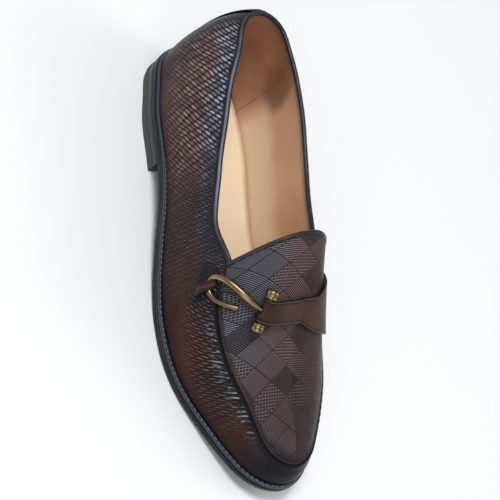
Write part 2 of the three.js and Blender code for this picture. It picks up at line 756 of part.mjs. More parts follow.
// The middle of the footprint is the origin
const footprint = new THREE.Box3().setFromObject(shoe);
const middle = footprint.getCenter(new THREE.Vector3());
shoe.position.set(-middle.x, -middle.y, -footprint.min.z);

export default shoe;
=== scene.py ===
import math

import bmesh
import bpy
import numpy as np
from mathutils import Matrix, Vector


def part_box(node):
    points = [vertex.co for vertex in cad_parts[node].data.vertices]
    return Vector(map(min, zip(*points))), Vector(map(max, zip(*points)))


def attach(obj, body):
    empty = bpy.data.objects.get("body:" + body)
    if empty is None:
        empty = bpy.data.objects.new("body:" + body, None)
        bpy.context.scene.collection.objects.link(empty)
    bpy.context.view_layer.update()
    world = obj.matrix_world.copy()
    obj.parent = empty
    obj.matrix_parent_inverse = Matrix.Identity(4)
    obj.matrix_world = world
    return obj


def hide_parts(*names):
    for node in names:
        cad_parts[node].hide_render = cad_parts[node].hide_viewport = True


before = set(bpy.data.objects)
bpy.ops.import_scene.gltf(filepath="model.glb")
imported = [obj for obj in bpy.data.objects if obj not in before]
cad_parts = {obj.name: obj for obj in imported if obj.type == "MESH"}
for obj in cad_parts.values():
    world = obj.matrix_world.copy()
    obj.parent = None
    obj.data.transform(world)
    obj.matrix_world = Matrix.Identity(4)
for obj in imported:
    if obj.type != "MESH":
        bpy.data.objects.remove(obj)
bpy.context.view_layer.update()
MM = 0.001

# Sizes of the last in millimetres, the same as in the part
LAST_LENGTH = 287
BALL_WIDTH = 96
INSTEP_HEIGHT = 98
COLLAR_HEIGHT = 70
HEEL_HEIGHT = 13
TOE_SPRING = 9
UPPER_WALL = 2
SOLE_THICKNESS = 4
WELT_THICKNESS = 2
INSOLE_THICKNESS = 3
TOP_PIECE_THICKNESS = 6
SOLE_LEDGE = 3
WELT_STEP = 0.5
WELT_WIDTH = 13
HEEL_TAPER = 1
HEEL_BREAST = 0.276
SEAM_RISE = 0.8
SEAM_DEPTH = 0.6
BINDING_RADIUS = 1.5
BACK_STRIP_TOP = 16
BACK_STRIP_FOOT = 11
BACK_STRIP_THICKNESS = 1
GAP = 0.3
THROAT = 0.585
SEAM_FADE = 0.04

# The feather line: share of the length, then each side's distance from the axis as shares of the ball
# width, and how much of the sole's ledge stands out there
OUTLINE_COLUMNS = ["at", "lateral", "medial", "ledge"]
OUTLINE = [
  [0, 0, 0, 0.5],
  [0.012, 0.14, 0.135, 0.5],
  [0.045, 0.235, 0.235, 0.5],
  [0.095, 0.285, 0.28, 0.5],
  [0.165, 0.34, 0.31, 0.5],
  [0.255, 0.365, 0.305, 0.6],
  [0.36, 0.41, 0.265, 0.7],
  [0.46, 0.48, 0.255, 0.75],
  [0.56, 0.54, 0.315, 0.85],
  [0.64, 0.565, 0.4, 0.95],
  [0.71, 0.56, 0.46, 1],
  [0.78, 0.51, 0.48, 1],
  [0.85, 0.415, 0.435, 1],
  [0.915, 0.315, 0.34, 1],
  [0.965, 0.215, 0.235, 1],
  [0.992, 0.1, 0.12, 1],
  [1, -0.03, 0.03, 1]
]
# Height of the outsole's underside: shares of the heel's height and of the toe spring
RISE_COLUMNS = ["at", "lift", "spring"]
RISE = [
  [0.0, 1.0, 0.0],
  [0.26, 0.93, 0.0],
  [0.36, 0.74, 0.0],
  [0.46, 0.42, 0.0],
  [0.56, 0.12, 0.0],
  [0.63, 0.0, 0.0],
  [0.74, 0.0, 0.0],
  [0.83, 0.0, 0.16],
  [0.92, 0.0, 0.5],
  [1.0, 0.0, 1.0]
]
# Sections from the feather line to the ridge
SECTION_COLUMNS = ["at", "spineAt", "spineX", "ridge", "bulge", "wall", "roof"]
SECTION_COLUMNS += ["rimLateral", "rimMedial", "sweep"]
SECTIONS = [
  [0, 0.11, 0.15, 1.07, 0.11, 0.42, 0.95, 1, 1, 1],
  [0.12, 0.155, 0.11, 1.04, 0.11, 0.42, 0.9, 0.94, 0.995, 1],
  [0.25, 0.245, 0.07, 1.055, 0.09, 0.4, 0.845, 0.785, 0.98, 1],
  [0.36, 0.35, 0.03, 1.085, 0.08, 0.4, 0.795, 0.685, 0.955, 1.15],
  [0.46, 0.45, 0.005, 1.1, 0.07, 0.4, 0.755, 0.665, 0.92, 1.5],
  [0.575, 0.54, 0, 1, 0.07, 0.4, 0.65, 0.78, 0.86, 1.8],
  [0.64, 0.59, 0.015, 0.87, 0.08, 0.42, 0.59, 0.615, 0.675, 1.5],
  [0.72, 0.66, 0.025, 0.69, 0.09, 0.43, 0.56, 0.5, 0.49, 1.2],
  [0.79, 0.725, 0.035, 0.555, 0.09, 0.44, 0.55, 0.42, 0.365, 1.05],
  [0.87, 0.785, 0.03, 0.465, 0.07, 0.45, 0.54, 0.34, 0.28, 1],
  [0.94, 0.83, 0.025, 0.42, 0.055, 0.46, 0.545, 0.255, 0.215, 1],
  [1, 0.855, 0.015, 0.4, 0.045, 0.48, 0.555, 0.195, 0.195, 1]
]

# The strap's two edges as places on the upper
STRAP_COLUMNS = ["at", "upper", "upperAcross", "lower", "lowerAcross", "doubled"]
STRAP = [
  [0, 0.684, -0.47, 0.715, -0.565, 2.3],
  [0.13, 0.692, -0.33, 0.731, -0.39, 1.7],
  [0.35, 0.71, -0.05, 0.752, -0.08, 0.6],
  [0.55, 0.7, 0.22, 0.76, 0.2, 0.1],
  [0.8, 0.66, 0.54, 0.75, 0.53, 0],
  [1, 0.605, 0.95, 0.722, 0.95, 0]
]
STRAP_THICKNESS = 2
BAR_RADIUS = 1.5
BAR_LENGTH = 15
CAP_RADIUS = 3.8
CAP_LENGTH = 5.4
FOLD_LENGTH = 14
WIRE_RADIUS = 1.2
WIRE_RISE = 4
HOOK_SLOT = 3.8
# The hook's wire from the bar on: at, across, shares of its rise, and shares of its thickness
HOOK = [
  [0.684, -0.6, 1.1, 1],
  [0.676, -0.645, 1.02, 1.3],
  [0.66, -0.7, 0.9, 1.5],
  [0.643, -0.765, 0.8, 1.5],
  [0.626, -0.85, 0.72, 1.5],
  [0.609, -0.95, 0.7, 1.4],
  [0.597, -1.06, 0.65, 1.2],
  [0.588, -1.14, 0.57, 1.1],
  [0.59, -1.185, 0.5, 1],
  [0.603, -1.2, 0.47, 1],
  [0.617, -1.16, 0.5, 1],
  [0.629, -1.08, 0.57, 1],
  [0.64, -1.01, 0.65, 1],
  [0.651, -0.94, 0.65, 1],
  [0.663, -0.86, 0.62, 1],
  [0.674, -0.78, 0.57, 1]
]
TAB_AT = 0.605
TAB_WIDTH = 5
TAB_HEAD = 1.1
TAB_FOOT = 1.36
TAB_RISE = 4.2
TAB_THICKNESS = 1.2


# The last, worked out as in the part's source
def columns(names, rows):
    """A table's columns as arrays by name."""
    return {name: np.array([row[i] for row in rows], float) for i, name in enumerate(names)}


outline_rows = columns(OUTLINE_COLUMNS, OUTLINE)
rise_rows = columns(RISE_COLUMNS, RISE)
section_rows = columns(SECTION_COLUMNS, SECTIONS)
strap_rows = columns(STRAP_COLUMNS, STRAP)


def read(rows, column, at):
    """A column between its rows, smooth and without overshoot, and straight on past the ends."""
    x = rows["at"]
    y = rows[column]
    slope = np.diff(y) / np.diff(x)
    tangent = np.zeros(len(x))
    tangent[0] = slope[0]
    tangent[-1] = slope[-1]
    for j in range(1, len(x) - 1):
        before, after = slope[j - 1], slope[j]
        if before * after > 0:
            tangent[j] = 2 * before * after / (before + after)
    at = np.asarray(at, float)
    i = np.clip(np.searchsorted(x, at) - 1, 0, len(x) - 2)
    width = x[i + 1] - x[i]
    t = (at - x[i]) / width
    value = y[i] * (1 + 2 * t) * (1 - t) ** 2 + tangent[i] * width * t * (1 - t) ** 2
    value += y[i + 1] * t**2 * (3 - 2 * t) + tangent[i + 1] * width * t**2 * (t - 1)
    value = np.where(at < x[0], y[0] + slope[0] * (at - x[0]), value)
    return np.where(at > x[-1], y[-1] + slope[-1] * (at - x[-1]), value)


def unit(vectors):
    """Vectors of length 1 in the same directions."""
    return vectors / np.maximum(np.linalg.norm(vectors, axis=-1, keepdims=True), 1e-9)


def square_to(vector, axis):
    """What is left of a vector at right angles to an axis, with length 1."""
    return unit(vector - axis * vector.dot(axis))


def run_of(points):
    """How far along a line of points each of them lies."""
    return np.concatenate([[0], np.cumsum(np.linalg.norm(np.diff(points, axis=0), axis=1))])


def smoothstep(value, start, end):
    t = np.clip((value - start) / (end - start), 0, 1)
    return t * t * (3 - 2 * t)


class Feather:
    """The feather line in plan: a closed smooth curve read by its length."""

    FINE = 40

    def __init__(self):
        rows = outline_rows
        outer = np.stack([-rows["lateral"] * BALL_WIDTH, -rows["at"] * LAST_LENGTH], 1)
        inner = np.stack([rows["medial"] * BALL_WIDTH, -rows["at"] * LAST_LENGTH], 1)[1:-1][::-1]
        ring = np.concatenate([outer, inner])
        count = len(ring)
        points = []
        for i in range(count):
            p0, p1, p2, p3 = (ring[(i + k) % count] for k in (-1, 0, 1, 2))
            pairs = ((p0, p1), (p1, p2), (p2, p3))
            d0, d1, d2 = (max(np.sum((b - a) ** 2) ** 0.25, 1e-4) for a, b in pairs)
            leave = ((p1 - p0) / d0 - (p2 - p0) / (d0 + d1) + (p2 - p1) / d1) * d1
            reach = ((p2 - p1) / d1 - (p3 - p1) / (d1 + d2) + (p3 - p2) / d2) * d1
            t = np.arange(self.FINE)[:, None] / self.FINE
            bend = -3 * p1 + 3 * p2 - 2 * leave - reach
            points.append(p1 + leave * t + bend * t**2 + (2 * p1 - 2 * p2 + leave + reach) * t**3)
        points = np.concatenate(points)
        points = np.vstack([points, points[:1]])
        lengths = run_of(points)
        self.points = points
        self.total = lengths[-1]
        self.share = lengths / lengths[-1]
        self.tip = self.share[self.FINE * (len(rows["at"]) - 1)]
        along = np.gradient(points, axis=0)
        along[0] = along[-1] = points[1] - points[-2]
        self.along = unit(along)


feather = Feather()
OUTER = "lateral"
INNER = "medial"
SIGN = {OUTER: -1, INNER: 1}


def outline(side, way, outset=0.0):
    """A place on a side's feather line: way 0 is the back of the heel, 1 the tip of the toe."""
    way = np.asarray(way, float)
    u = way * feather.tip if side == OUTER else 1 - way * (1 - feather.tip)
    u = np.where(u >= 1, u - 1, u)
    point = np.stack([np.interp(u, feather.share, feather.points[:, i]) for i in (0, 1)], -1)
    along = np.stack([np.interp(u, feather.share, feather.along[:, i]) for i in (0, 1)], -1)
    out = np.stack([along[..., 1], -along[..., 0]], -1)
    return point + out * np.asarray(outset, float)[..., None]


def share_at(point):
    return -point[..., 1] / LAST_LENGTH


def mean_share(way):
    return (share_at(outline(OUTER, way)) + share_at(outline(INNER, way))) / 2


def way_for(rising, value):
    """The way where a rising function of it reaches each value."""
    ways = np.linspace(0, 1, 4001)
    return np.interp(value, rising(ways), ways)


def way_at(side, share):
    """The way where one side's foot line reaches a share of the length."""
    return float(way_for(lambda way: share_at(outline(side, way)), share))


def with_height(points, z):
    return np.concatenate([points, z[:, None]], 1)


def underside(at):
    return read(rise_rows, "lift", at) * HEEL_HEIGHT + read(rise_rows, "spring", at) * TOE_SPRING


def sole_top(at):
    return underside(at) + SOLE_THICKNESS


def welt_top(at):
    return sole_top(at) + GAP + WELT_THICKNESS


def seat(at):
    return welt_top(at) + GAP


def ledge(at):
    return read(outline_rows, "ledge", at) * SOLE_LEDGE


class Sections:
    """The last's sections of one side at many ways, each running from the feather line to the ridge."""

    def __init__(self, side, ways):
        self.ways = np.atleast_1d(np.asarray(ways, float))
        self.foot = outline(side, self.ways)
        mean = mean_share(self.ways)
        self.value = {name: read(section_rows, name, mean)[:, None] for name in SECTION_COLUMNS[1:]}
        self.spine = (
            self.value["spineX"] * BALL_WIDTH,
            -self.value["spineAt"] * LAST_LENGTH,
            self.value["ridge"] * INSTEP_HEIGHT,
        )
        self.floor = seat(share_at(self.foot))[:, None]
        rim = self.value["rimLateral" if side == OUTER else "rimMedial"] * COLLAR_HEIGHT
        # the share of the section where it reaches the rim's height, found by halving
        low = np.zeros((len(self.ways), 1))
        high = np.ones((len(self.ways), 1))
        for _ in range(32):
            middle = (low + high) / 2
            below = self.place(middle)[..., 2] < self.floor + rim
            low = np.where(below, middle, low)
            high = np.where(below, high, middle)
        self.rim = (low + high) / 2
        step = self.place(self.rim) - self.place(self.rim - 0.01)
        self.pace = np.linalg.norm(step, axis=-1) / 0.01

    def place(self, t):
        """Points in the last's frame, in millimetres: a row for each way, a column for each t."""
        t = np.asarray(t, float)
        if t.ndim == 1:
            t = t[None, :]
        first, second, third = (1 - t) ** 3, 3 * t * (1 - t) ** 2, 3 * t * t * (1 - t)
        wide = first + second * (1 + self.value["bulge"]) + third * self.value["roof"]
        tall = second * self.value["wall"] + third + t**3
        x = self.spine[0] + (self.foot[:, :1] - self.spine[0]) * wide
        y = self.spine[1] + (self.foot[:, 1:] - self.spine[1]) * np.abs(wide) ** self.value["sweep"]
        z = self.floor + (self.spine[2] - self.floor) * tall
        return np.stack([x, y, z], -1)


def on_upper(at, across, rise=0.0):
    """Places over the upper: across is 0 on the ridge, 1 on the seam or topline and 2 at the sole,
    and the same with a minus on the outer side."""
    at, across, rise = (np.atleast_1d(v).astype(float) for v in np.broadcast_arrays(at, across, rise))
    ways = way_for(mean_share, at)
    found = np.zeros((len(at), 3))
    step = 1e-3
    for side, mine in ((OUTER, across < 0), (INNER, across >= 0)):
        if not mine.any():
            continue
        way = ways[mine]
        apart = np.abs(across[mine])[:, None]
        here = Sections(side, way)
        t = np.where(apart < 1, 1 + (here.rim - 1) * apart, here.rim * (2 - apart))
        before = Sections(side, np.maximum(way - step, 0)).place(t)[:, 0]
        after = Sections(side, np.minimum(way + step, 1)).place(t)[:, 0]
        up = here.place(np.minimum(t + step, 1))[:, 0] - here.place(np.maximum(t - step, 0))[:, 0]
        normal = unit(np.cross(up, after - before)) * SIGN[side]
        found[mine] = here.place(t)[:, 0] + normal * rise[mine][:, None]
    return found


QUARTER_STEPS = 20
VAMP_STEPS = 24
throat = float(way_for(mean_share, THROAT))
# the solid's outsole is worked out at these ways, so its box gives the place of the last's frame
quarter_part = throat * np.arange(QUARTER_STEPS) / QUARTER_STEPS
solid_ways = np.concatenate([quarter_part, np.linspace(throat, 1, VAMP_STEPS + 1)])
rims = [outline(side, solid_ways, ledge(share_at(outline(side, solid_ways)))) for side in (OUTER, INNER)]
sole_corner = np.concatenate(rims).min(0)
low_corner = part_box("outsole")[0]
MIDDLE = np.array([low_corner.x / MM - sole_corner[0], low_corner.y / MM - sole_corner[1], 0])


def metres(points):
    """Points of the last's frame in the shoe's own frame, in metres."""
    return (np.asarray(points) + MIDDLE) * MM


# Materials
def feed(socket, value):
    """Gives a node's input a number, a colour, or what another node works out."""
    if isinstance(value, Sum):
        value = value.socket
    if isinstance(value, bpy.types.NodeSocket):
        socket.id_data.links.new(value, socket)
    elif isinstance(value, tuple):
        socket.default_value = (*value, 1)
    else:
        socket.default_value = value


class Sum:
    """A number worked out by shader nodes, written as a sum."""

    def __init__(self, nodes, socket):
        self.nodes = nodes
        self.socket = socket

    def math(self, operation, *others):
        node = self.nodes.new("ShaderNodeMath")
        node.operation = operation
        for slot, value in enumerate((self, *others)):
            feed(node.inputs[slot], value)
        return Sum(self.nodes, node.outputs[0])

    def __add__(self, other):
        return self.math("ADD", other)

    def __sub__(self, other):
        return self.math("SUBTRACT", other)

    def __mul__(self, other):
        return self.math("MULTIPLY", other)

    def __truediv__(self, other):
        return self.math("DIVIDE", other)

    def sine(self):
        return self.math("SINE")

    def size(self):
        return self.math("ABSOLUTE")

    def floor(self):
        return self.math("FLOOR")

    def rest(self):
        return self.math("FRACT")

    def least(self, other):
        return self.math("MINIMUM", other)

    def most(self, other):
        return self.math("MAXIMUM", other)

    def power(self, other):
        return self.math("POWER", other)

    def ramp(self, start, end):
        """0 at start, 1 at end, smooth between them."""
        node = self.nodes.new("ShaderNodeMapRange")
        node.interpolation_type = "SMOOTHSTEP"
        node.inputs["From Min"].default_value = start
        node.inputs["From Max"].default_value = end
        feed(node.inputs["Value"], self)
        return Sum(self.nodes, node.outputs["Result"])

    def band(self, middle, width):
        """1 at middle, 0 at width from it."""
        return (self - middle).size().ramp(width, 0)


class Finish:
    """A material and the nodes that it is built from."""

    def __init__(self, name):
        self.material = bpy.data.materials.new(name)
        self.material.use_nodes = True
        self.nodes = self.material.node_tree.nodes
        self.shader = self.nodes["Principled BSDF"]
        self.position = self.nodes.new("ShaderNodeTexCoord").outputs["Object"]

    def attribute(self, name):
        node = self.nodes.new("ShaderNodeAttribute")
        node.attribute_name = name
        return Sum(self.nodes, node.outputs["Fac"])

    def vector(self, x, y, z=0.0):
        node = self.nodes.new("ShaderNodeCombineXYZ")
        for slot, value in enumerate((x, y, z)):
            feed(node.inputs[slot], value)
        return node.outputs[0]

    def parts(self):
        node = self.nodes.new("ShaderNodeSeparateXYZ")
        feed(node.inputs[0], self.position)
        return [Sum(self.nodes, out) for out in node.outputs]

    def noise(self, per_metre, detail, stretch=None):
        node = self.nodes.new("ShaderNodeTexNoise")
        node.inputs["Scale"].default_value = per_metre
        node.inputs["Detail"].default_value = detail
        node.inputs["Roughness"].default_value = 0.55
        source = self.position
        if stretch:
            mapping = self.nodes.new("ShaderNodeMapping")
            mapping.inputs["Scale"].default_value = stretch
            feed(mapping.inputs["Vector"], source)
            source = mapping.outputs[0]
        feed(node.inputs["Vector"], source)
        return Sum(self.nodes, node.outputs[0])

    def pebbles(self, per_metre):
        """Leather grain: small cells with fine creases between them."""
        node = self.nodes.new("ShaderNodeTexVoronoi")
        node.feature = "DISTANCE_TO_EDGE"
        node.inputs["Scale"].default_value = per_metre
        feed(node.inputs["Vector"], self.position)
        return Sum(self.nodes, node.outputs["Distance"]).ramp(0.0, 0.12)

    def chance(self, vector):
        node = self.nodes.new("ShaderNodeTexWhiteNoise")
        node.noise_dimensions = "3D"
        feed(node.inputs["Vector"], vector)
        return Sum(self.nodes, node.outputs["Value"])

    def blend(self, share, first, second):
        """A colour between two colours, each given as numbers or as a node's socket."""
        node = self.nodes.new("ShaderNodeMix")
        node.data_type = "RGBA"
        for slot, value in ((0, share), (6, first), (7, second)):
            feed(node.inputs[slot], value)
        return node.outputs[2]

    def done(self, colour, height, depth, rough, **values):
        """The material with its colour, relief of a depth in millimetres, roughness and plain values."""
        node = self.nodes.new("ShaderNodeBump")
        node.inputs["Distance"].default_value = depth * MM
        feed(node.inputs["Height"], height)
        for name in ("Normal", "Coat Normal"):
            feed(self.shader.inputs[name], node.outputs[0])
        feed(self.shader.inputs["Base Color"], colour)
        feed(self.shader.inputs["Roughness"], rough)
        for name, value in values.items():
            self.shader.inputs[name.replace("_", " ")].default_value = value
        return self.material


# Colours of the upper
BROWN = (0.030, 0.010, 0.006)
WARM = (0.064, 0.020, 0.009)
PLUM = (0.066, 0.034, 0.030)
ROSE = (0.41, 0.275, 0.275)
# a painted blue-white sheen, used as painted highlight on raised places and on the gathers
PAINTED_SHEEN = (0.55, 0.61, 0.72)
BLACK = (0.006, 0.005, 0.006)
# near black, for painted shade and for the toe's burnish
SHADE_AND_BURNISH = (0.007, 0.008, 0.014)
CORD = (0.16, 0.11, 0.09)
# a painted highlight along cut edges
EDGE_HIGHLIGHT = (0.20, 0.14, 0.12)
# a painted highlight on the piping
PIPING_HIGHLIGHT = (0.24, 0.28, 0.37)
# Pairs of colours that a finish runs between
PIPING = (0.005, 0.006, 0.012), (0.010, 0.013, 0.024)
DARK_STRIP = (0.014, 0.010, 0.010), (0.03, 0.017, 0.014)
STRAP_BROWN = (0.038, 0.016, 0.010), (0.064, 0.026, 0.016)
STRAP_EDGE = (0.010, 0.007, 0.008)
TAB_BROWN = (0.075, 0.032, 0.020), (0.12, 0.05, 0.03)
TAB_EDGE = (0.02, 0.012, 0.012)
PALE_LINING = (0.76, 0.43, 0.25), (0.82, 0.50, 0.31)
DEEP_LINING = (0.36, 0.165, 0.09), (0.46, 0.23, 0.13)
HEEL_SPOT_LINING = (0.20, 0.085, 0.04)
CREAM_LINING = (0.92, 0.72, 0.49)
LINING_EDGE = (0.22, 0.11, 0.06)
LINING_SEAM = (0.14, 0.07, 0.045)
SOCK = (0.86, 0.67, 0.45), (0.92, 0.76, 0.54)
# painted shade at the insole's edge
SOCK_EDGE_SHADE = (0.52, 0.31, 0.17)
SOLE_EDGE = (0.009, 0.009, 0.011), (0.019, 0.020, 0.024)
WELT_EDGE = (0.008, 0.008, 0.011), (0.018, 0.019, 0.025)
# a painted highlight on the welt's rills
RILL_HIGHLIGHT = (0.16, 0.185, 0.24)
HEEL_EDGE = (0.030, 0.034, 0.033), (0.052, 0.058, 0.056)
RUBBER = (0.028, 0.031, 0.030), (0.042, 0.046, 0.045)
BRASS = (0.21, 0.14, 0.063), (0.34, 0.245, 0.125)
BRASS_SPOT = (0.10, 0.065, 0.03)
# painted glints on the welt's dark thread
THREAD_GLINT = (0.09, 0.10, 0.12), (0.16, 0.18, 0.21)


def dashes(f, x, y, spacing, pitch, lean, length, width):
    """Raised dashes: x runs along a dash and y across it, and each row is shifted by the lean."""
    row = (y / pitch).floor()
    place = (x - row * lean) / spacing
    draw = f.chance(f.vector(place.floor(), row))
    end = (place.rest() - 0.5) * (2 * spacing / length)
    flank = ((y / pitch).rest() - 0.5) * (2 * pitch / width)
    return (end * end + flank * flank).ramp(1.5, 0.2) * (draw * 0.55 + 0.45)


# The apron's diamonds in millimetres: their size and where one corner of them lies
DIAMOND_WIDE = 21.5
DIAMOND_LONG = 18.4
DIAMOND_START = (-35, -45)
LINES_A_DIAMOND = 13


def diamond_hatching(f, x, y):
    """The apron's diamonds, each filled with lines, holes or a cross hatch: its height from 0 to 1."""
    over = (x - DIAMOND_START[0]) / DIAMOND_WIDE
    on = (y - DIAMOND_START[1]) / DIAMOND_LONG
    u = over + on + 0.5
    v = on - over + 0.5
    draw = f.chance(f.vector(u.floor(), v.floor(), 3.0))
    lines = LINES_A_DIAMOND * 2 * math.pi
    lines_u, lines_v = ((way.rest() * lines).sine().ramp(-0.7, 0.5) for way in (u, v))
    holes = (y * 3.3).sine().ramp(-0.5, 0.3).most((x * 3.6).sine().ramp(0.2, 0.8)) * 0.8
    bars = (y * 4.6).sine().ramp(-0.8, 0.2)
    cross = lines_u.least(lines_v)
    # each filling is drawn where the diamond's chance lies under its number and over the one before
    height = lines_u * draw.math("LESS_THAN", 0.24)
    fillings = ((lines_v, 0.24, 0.44), (holes, 0.44, 0.7), (bars, 0.7, 0.84), (cross, 0.84, 1))
    for filling, low, high in fillings:
        drawn = draw.math("GREATER_THAN", low) * draw.math("LESS_THAN", high)
        height = height + filling * drawn
    edge = (u.rest() - 0.5).size().most((v.rest() - 0.5).size())
    line = edge.ramp(0.46, 0.475)
    return height * (line * -1 + 1) + edge.ramp(0.487, 0.476) * line


def leaning(along, down, wander, lean, drift):
    """Places turned on the leather: each share of along and down is given, and how far they wander."""
    return along * lean[0] + down * lean[1] + wander * drift


def embossed_leather():
    f = Finish("embossed leather")
    along, down, side, apron = (f.attribute(name) for name in ("along", "down", "side", "apron"))
    seam, toe, foot = (f.attribute(name) for name in ("seam", "toe", "foot"))
    sides = apron * -1 + 1
    wander = f.noise(60, 2.0) - 0.5
    cloud = f.noise(26, 4.0)
    # where the shoe is vamp, quarter, waist and heel, by the millimetres from the back
    forward = (along + wander * 30).ramp(150, 176)
    back = (along + wander * 44).ramp(122, 74)
    middle = (forward + back) * -1 + 1
    heel = (along + cloud * 16).ramp(8, 26)
    # slanting dashes on the quarters, finer ones in the waist, and longer ones in rows on the vamp
    slant_x = leaning(along, down, wander, (0.47, -0.42), 4)
    slant_y = leaning(along, down, wander, (0.9, 0.74), 3)
    slanting = dashes(f, slant_x, slant_y, spacing=4.3, pitch=2.3, lean=-0.9, length=4.2, width=1.75)
    waist_x = leaning(along, down, wander, (0.3, -0.66), 3)
    waist_y = leaning(along, down, wander, (0.96, 0.58), 3)
    waist = dashes(f, waist_x, waist_y, spacing=4.4, pitch=1.5, lean=2.5, length=3.8, width=0.8)
    row_x = leaning(along, down, wander, (0.5, -0.75), 3)
    row_y = leaning(along, down, wander, (0.93, 0.62), 3)
    rows = dashes(f, row_x, row_y, spacing=6.4, pitch=1.75, lean=3.7, length=5.2, width=0.75)
    weave = rows * forward * 0.85 + slanting * back * heel + waist * middle * 0.5
    reach = down.ramp(68, 28) * (forward * -1 + 1) + (down + wander * 10).ramp(34, 14) * forward
    strong = reach * (down + wander * 4).ramp(0.5, 3) * toe.ramp(0.8, 0.3)
    shown_at = ((side + wander * 30).ramp(24, -6) * 0.7 + 0.3) * toe.ramp(1.0, 0.7)
    shown_at = shown_at * (seam + wander * 6).ramp(1.5, 5) * apron
    diamonds = diamond_hatching(f, f.attribute("flat_x"), f.attribute("flat_y"))
    pattern = weave * strong * sides + diamonds * shown_at
    field = strong * sides * 0.8 + shown_at
    grain = f.pebbles(1900)
    # short gathers where the vamp is drawn up to the apron, towards the toe: raised in relief, and lit with
    # painted highlights
    ticks = (row_y * (2 * math.pi / 2.9)).sine().ramp(0.2, 0.95) * seam.ramp(10, 4) * seam.ramp(1.2, 2.4)
    ticks = ticks * sides * (along + wander * 20).ramp(186, 206) * toe.ramp(0.9, 0.6)
    ticks = ticks * f.noise(150, 2.0).ramp(0.4, 0.6)
    height = pattern + ticks * 0.8 + grain * 0.08 + f.noise(2600, 2.0) * 0.06
    # brown in the middle of each panel; the raised places lighter, partly the leather's two-tone finish and
    # partly painted highlight, with a painted blue-white sheen near the topline and on the apron's lateral
    # side
    base = f.blend(cloud.ramp(0.35, 0.65), BROWN, WARM)
    base = f.blend(apron * side.ramp(24, -12), base, PLUM)
    near_top = (down + wander * 10).ramp(20, 3) * sides * (forward * -0.6 + 1)
    # the apron's lateral side: painted shade, and a painted blue-white sheen on its raised places
    lateral_shade_and_sheen = apron * side.ramp(-8, -36) * ((along + cloud * 20).ramp(250, 205) * 0.75 + 0.25)
    crest = f.blend(near_top.most(lateral_shade_and_sheen), ROSE, PAINTED_SHEEN)
    lift = (sides * 0.38 + near_top * 0.5 + 0.38) * (forward * sides * -0.38 + 1)
    toned = f.blend(pattern * lift, base, crest)
    hollow = (pattern * -1 + 1).most(0) * field
    toned = f.blend(hollow * 0.8, toned, BLACK)
    # darkened to near black: painted shade towards the seams, the sole and the back, on the apron's lateral
    # side and round the tab; towards the topline a darker dye with painted shade; towards the toe a burnish
    # painted shade round the tab, where it comes out of the quarter
    tab_x = (along - 170) / 13
    tab_y = (down - 13) / 9
    tab_shade = (tab_x * tab_x + tab_y * tab_y + wander).ramp(1.2, 0.4) * side.math("LESS_THAN", 0.0) * sides
    dark = near_top * 0.8
    for shade in (
        (seam + cloud * 6).ramp(13, 3) * (sides * 0.6 + 0.35),
        (foot + cloud * 5).ramp(11, 2) * 0.8,
        lateral_shade_and_sheen * 0.75,
        (along + cloud * 30).ramp(215, 290) * apron * 0.7,
        (toe + cloud * 0.5).ramp(0.85, 1.3) * 0.95,
        (along + cloud * 16).ramp(40, 10) * sides * 0.85,
        tab_shade * 0.9,
    ):
        dark = dark.most(shade)
    toned = f.blend(dark * (pattern * -0.55 + 1), toned, SHADE_AND_BURNISH)
    # painted highlights on the gathers
    toned = f.blend(ticks * 0.55, toned, PAINTED_SHEEN)
    cord = seam.band(1.7, 0.35) * apron * toe.ramp(1.1, 0.9)
    toned = f.blend(cord * 0.3, toned, CORD)
    toned = f.blend(seam.band(0.4, 1.0) * 0.9, toned, BLACK)
    rough = grain * -0.04 + (cloud * 0.12 + 0.3) + pattern * -0.06
    return f.done(toned, height, 0.7, rough, Coat_Weight=0.14, Coat_Roughness=0.14, Specular_IOR_Level=0.05)


def smooth_leather(name, low, high, rough=0.31, coat=0.12, edge=None, shine=0.6, painted_highlight=False):
    """Plain leather: edge is the colour towards its cut edges, shine how strong a painted highlight runs
    along them, and the last flag paints a highlight on its outer side.
    """
    f = Finish(name)
    cloud = f.noise(45, 4.0)
    tone = f.blend(cloud.ramp(0.3, 0.7), low, high)
    grain = f.pebbles(1500)
    if edge:
        rim = f.attribute("edge")
        tone = f.blend(rim.ramp(3.2, 0.9), tone, edge)
        # a painted highlight along the cut edge, as strong as shine
        tone = f.blend(rim.band(0.5, 0.35) * shine, tone, EDGE_HIGHLIGHT)
        grain = grain + rim.band(2.2, 0.45) * -2.2
    if painted_highlight:
        # a painted highlight where the piping faces up and outwards, strongest on the outer quarter
        x, y = f.parts()[:2]
        outer = x.ramp(0.0, -0.03) * y.ramp(-0.01, 0.04) * 0.6 + 0.07
        tone = f.blend(f.attribute("painted_highlight").ramp(0.78, 0.99) * outer * (cloud + 0.4), tone, PIPING_HIGHLIGHT)
    height = grain + f.noise(1800, 2.0) * 0.5
    gloss = {"Coat_Weight": coat, "Coat_Roughness": 0.2, "Specular_IOR_Level": 0.1}
    return f.done(tone, height, 0.05, cloud * 0.14 + rough, **gloss)


GRIP_SEAM = 44.5


